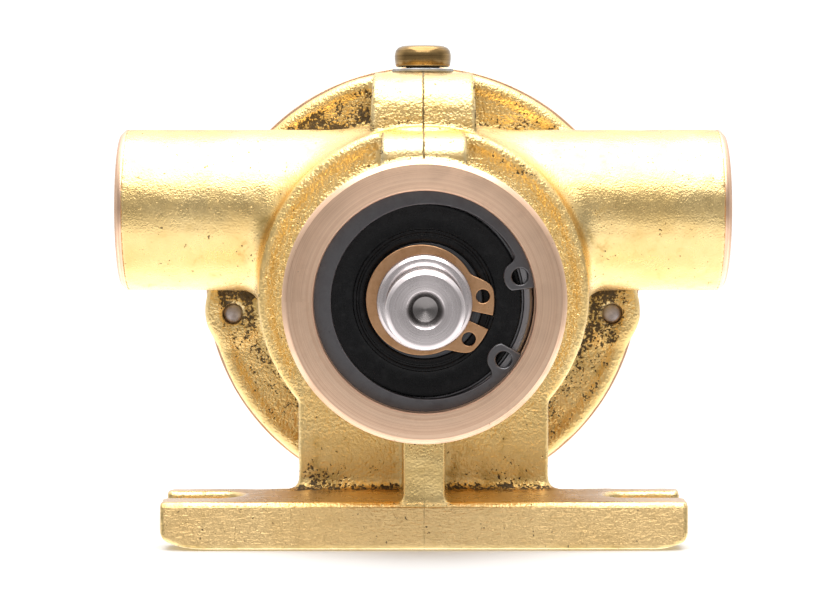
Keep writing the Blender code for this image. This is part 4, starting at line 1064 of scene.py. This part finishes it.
def make_bearing_faces(steel, darkened, black):
    """What shows of the front bearing: its rings' faces and the moulded seal between them."""
    outer = [
        (15.9, 5.0), (16.9, 5.0), (17.3, 5.4), (17.3, 15.9), (15.9, 15.9), (15.9, 14.3),
        (14.2, 14.3), (14.2, 6.7), (15.9, 6.7),
    ]
    ring_piece("front_outer_race", outer, steel, "housing", ["front_bearing_outer_race"], 0.1, 160)
    inner = [
        (7.75, 5.3), (8.05, 5.0), (9.2, 5.0), (9.2, 6.5), (10.9, 6.5), (10.9, 14.5),
        (9.2, 14.5), (9.2, 16.0), (7.75, 16.0),
    ]
    ring_piece("front_inner_race", inner, darkened, "rotor", ["front_bearing_inner_race"], 0.08, 160)
    seal = [
        (9.4, 6.25), (9.4, 5.5), (10.05, 5.35), (10.35, 5.35), (10.5, 5.55), (10.75, 5.55),
        (10.9, 5.38), (11.25, 5.38), (11.45, 5.6), (12.1, 5.62), (14.6, 5.56), (14.9, 5.42),
        (15.3, 5.42), (15.52, 5.55), (15.52, 6.25),
    ]
    ring_piece("front_bearing_shield", seal, black, "housing", ["front_bearing_front_seal"], 0.06, 160)


def dress_hidden_nodes(looks):
    """Gives every CAD node that stays as it is a material for its slot."""
    for part in frame["record"]["subparts"]:
        node = frame["nodes"][part["node"]]
        if not node.hide_render:
            node.data.materials.clear()
            node.data.materials.append(looks[part["material_slot"]].material)


# --- stage ---


FLOOR_EDGES = (-0.45, 0.45, -0.12, 0.5)  # left, right, front and back, in metres
FLOOR_GREY = 0.74
SOFTBOX = (0.64, 0.94)  # in metres
SOFTBOX_PLACE = (0, -0.17, 0.6)
SOFTBOX_POWER = 6.6  # in watts
OVERHEAD_GLOW = 0.7  # on top of the front or back glow
FLOOR_GLOW = 1.1  # on top of the front or back glow
FRONT_GLOW = 0.36
BACK_GLOW = 1.0
CAMERA_DISTANCE = 400  # ahead of the collar's face
CAMERA_RISE = 23.7  # above the shaft
CAMERA_SHIFT = -2.5
CAMERA_PITCH = math.radians(3.336)
CAMERA_YAW = math.radians(0.256)


def make_floor():
    look = bpy.data.materials.new("pale floor")
    look.use_nodes = True
    shader = look.node_tree.nodes["Principled BSDF"]
    shader.inputs["Base Color"].default_value = (FLOOR_GREY, FLOOR_GREY, FLOOR_GREY, 1)
    shader.inputs["Roughness"].default_value = 0.7
    left, right, front, back = FLOOR_EDGES
    mesh = bpy.data.meshes.new("floor")
    corners = [(left, front, 0), (right, front, 0), (right, back, 0), (left, back, 0)]
    mesh.from_pydata(corners, [], [(0, 1, 2, 3)])
    mesh.materials.append(look)
    floor = link("floor", mesh, (0, 0, -0.0002))
    floor.visible_glossy = False


def make_world():
    """White to the eye. What the metal reflects is bright above, behind and below, and dim in front."""
    world = bpy.data.worlds.new("studio")
    bpy.context.scene.world = world
    world.use_nodes = True
    tree = world.node_tree
    tree.nodes.clear()
    place = tree.nodes.new("ShaderNodeTexCoord")
    axes = tree.nodes.new("ShaderNodeSeparateXYZ")
    tree.links.new(place.outputs["Generated"], axes.inputs[0])

    def ramp_node(value, low, high, start, end):
        made = tree.nodes.new("ShaderNodeMapRange")
        made.interpolation_type = "SMOOTHSTEP"
        tree.links.new(value, made.inputs[0])
        for number, socket in zip((low, high, start, end), made.inputs[1:5]):
            socket.default_value = number
        return made.outputs[0]

    def added(a, b):
        made = tree.nodes.new("ShaderNodeMath")
        tree.links.new(a, made.inputs[0])
        tree.links.new(b, made.inputs[1])
        return made.outputs[0]

    overhead = ramp_node(axes.outputs[2], 0.3, 0.7, 0, OVERHEAD_GLOW)
    behind = ramp_node(axes.outputs[1], -0.25, 0.5, FRONT_GLOW, BACK_GLOW)
    below = ramp_node(axes.outputs[2], -0.02, -0.5, 0, FLOOR_GLOW)
    lit = tree.nodes.new("ShaderNodeBackground")
    tree.links.new(added(added(overhead, behind), below), lit.inputs["Strength"])
    seen = tree.nodes.new("ShaderNodeBackground")
    seen.inputs["Strength"].default_value = 1.2
    for background in (lit, seen):
        background.inputs["Color"].default_value = (1, 1, 1, 1)
    path = tree.nodes.new("ShaderNodeLightPath")
    choice = tree.nodes.new("ShaderNodeMixShader")
    tree.links.new(path.outputs["Is Camera Ray"], choice.inputs[0])
    tree.links.new(lit.outputs[0], choice.inputs[1])
    tree.links.new(seen.outputs[0], choice.inputs[2])
    output = tree.nodes.new("ShaderNodeOutputWorld")
    tree.links.new(choice.outputs[0], output.inputs[0])


def area_light(name, place, aim, size, power):
    light = bpy.data.lights.new(name, "AREA")
    light.shape = "RECTANGLE"
    light.size, light.size_y = size
    light.energy = power
    turn = (Vector(aim) - Vector(place)).to_track_quat("-Z", "Y").to_euler()
    link(name, light, place, turn)


def make_camera():
    camera = bpy.data.cameras.new("camera")
    camera.lens = 109.33
    camera.sensor_width = 36
    camera.clip_start = 0.01
    place = on_shaft(-CAMERA_DISTANCE, CAMERA_SHIFT, CAMERA_RISE)
    turn = (math.pi / 2 - CAMERA_PITCH, 0, -CAMERA_YAW)
    bpy.context.scene.camera = link("camera", camera, place, turn)


# --- the whole ---


def build():
    cast = cast_brass()
    bronze = turned_metal(
        "turned bronze", "cast_brass", (1.0, 0.71, 0.51), (0.76, 0.48, 0.32), 0.36, 0.02, 0.13
    )
    drilled = (2.6, shaft_low.y - FACE_Y + 0.1)
    stainless = turned_metal(
        "stainless steel", "stainless", (0.82, 0.75, 0.75), (0.58, 0.52, 0.52), 0.28, grease=drilled
    )
    cover = turned_metal("cover bronze", "cover_bronze", (0.80, 0.58, 0.36), (0.62, 0.41, 0.22), 0.34)
    aged = turned_metal("aged brass", "aged_brass", (0.42, 0.27, 0.11), (0.2, 0.12, 0.045), 0.18)
    race = turned_metal("ground steel", "race_steel", (0.42, 0.41, 0.42), (0.28, 0.27, 0.28), 0.3)
    # The inner race's steel is set far darker than the outer race's.
    darkened = turned_metal("oily steel", "race_steel", (0.12, 0.12, 0.125), (0.06, 0.06, 0.065), 0.3)
    washer = plain_metal("dull washer", "washer_steel", (0.52, 0.52, 0.54), (0.34, 0.36, 0.36), 0.5)
    screw = plain_metal("screw steel", "screw_steel", (0.60, 0.55, 0.56), (0.46, 0.42, 0.43), 0.55)
    dark_clip = plain_metal(
        "dark spring steel", "dark_spring_steel", (0.15, 0.145, 0.15), (0.125, 0.12, 0.125), 0.36
    )
    copper_clip = plain_metal(
        "copper plated", "copper_spring_steel", (0.64, 0.37, 0.20), (0.50, 0.27, 0.13), 0.34
    )
    black = rubber("seal rubber", "seal_rubber", (0.004, 0.004, 0.0045), 0.28, 0.004)
    hidden = [
        plain_metal("cam bronze", "cam_bronze", (0.66, 0.42, 0.22), (0.45, 0.27, 0.12), 0.4),
        plain_metal("insert brass", "insert_brass", (0.74, 0.54, 0.24), (0.5, 0.34, 0.13), 0.4),
        plain_metal("ball steel", "ball_steel", (0.8, 0.8, 0.81), (0.68, 0.68, 0.7), 0.1, 0.002),
        plain_metal("cage steel", "cage_steel", (0.6, 0.6, 0.61), (0.42, 0.42, 0.43), 0.4),
        rubber("impeller rubber", "impeller_rubber", (0.03, 0.03, 0.03), 0.55, 0.02),
        paper(),
    ]
    looks = {look.slot: look for look in [*hidden, stainless, race, screw, black]}
    body = make_casting(cast.material)
    show(body, "housing", cast, "pump_body")
    make_collar(bronze)
    make_port_end("left_port_end", -1, bronze)
    make_port_end("right_port_end", 1, bronze)
    make_flange_rim(bronze)
    make_cover(cover, looks["gasket_paper"])
    make_cover_screws(screw)
    make_cam_screw(aged, washer)
    make_shaft(stainless)
    make_bearing_faces(race, darkened, black)
    make_bore_clip(dark_clip)
    make_shaft_clip(copper_clip)
    dress_hidden_nodes(looks)
    make_floor()
    make_world()
    area_light("overhead softbox", SOFTBOX_PLACE, (*SOFTBOX_PLACE[:2], 0), SOFTBOX, SOFTBOX_POWER)
    make_camera()
    bpy.context.scene.view_settings.view_transform = "Standard"


build()
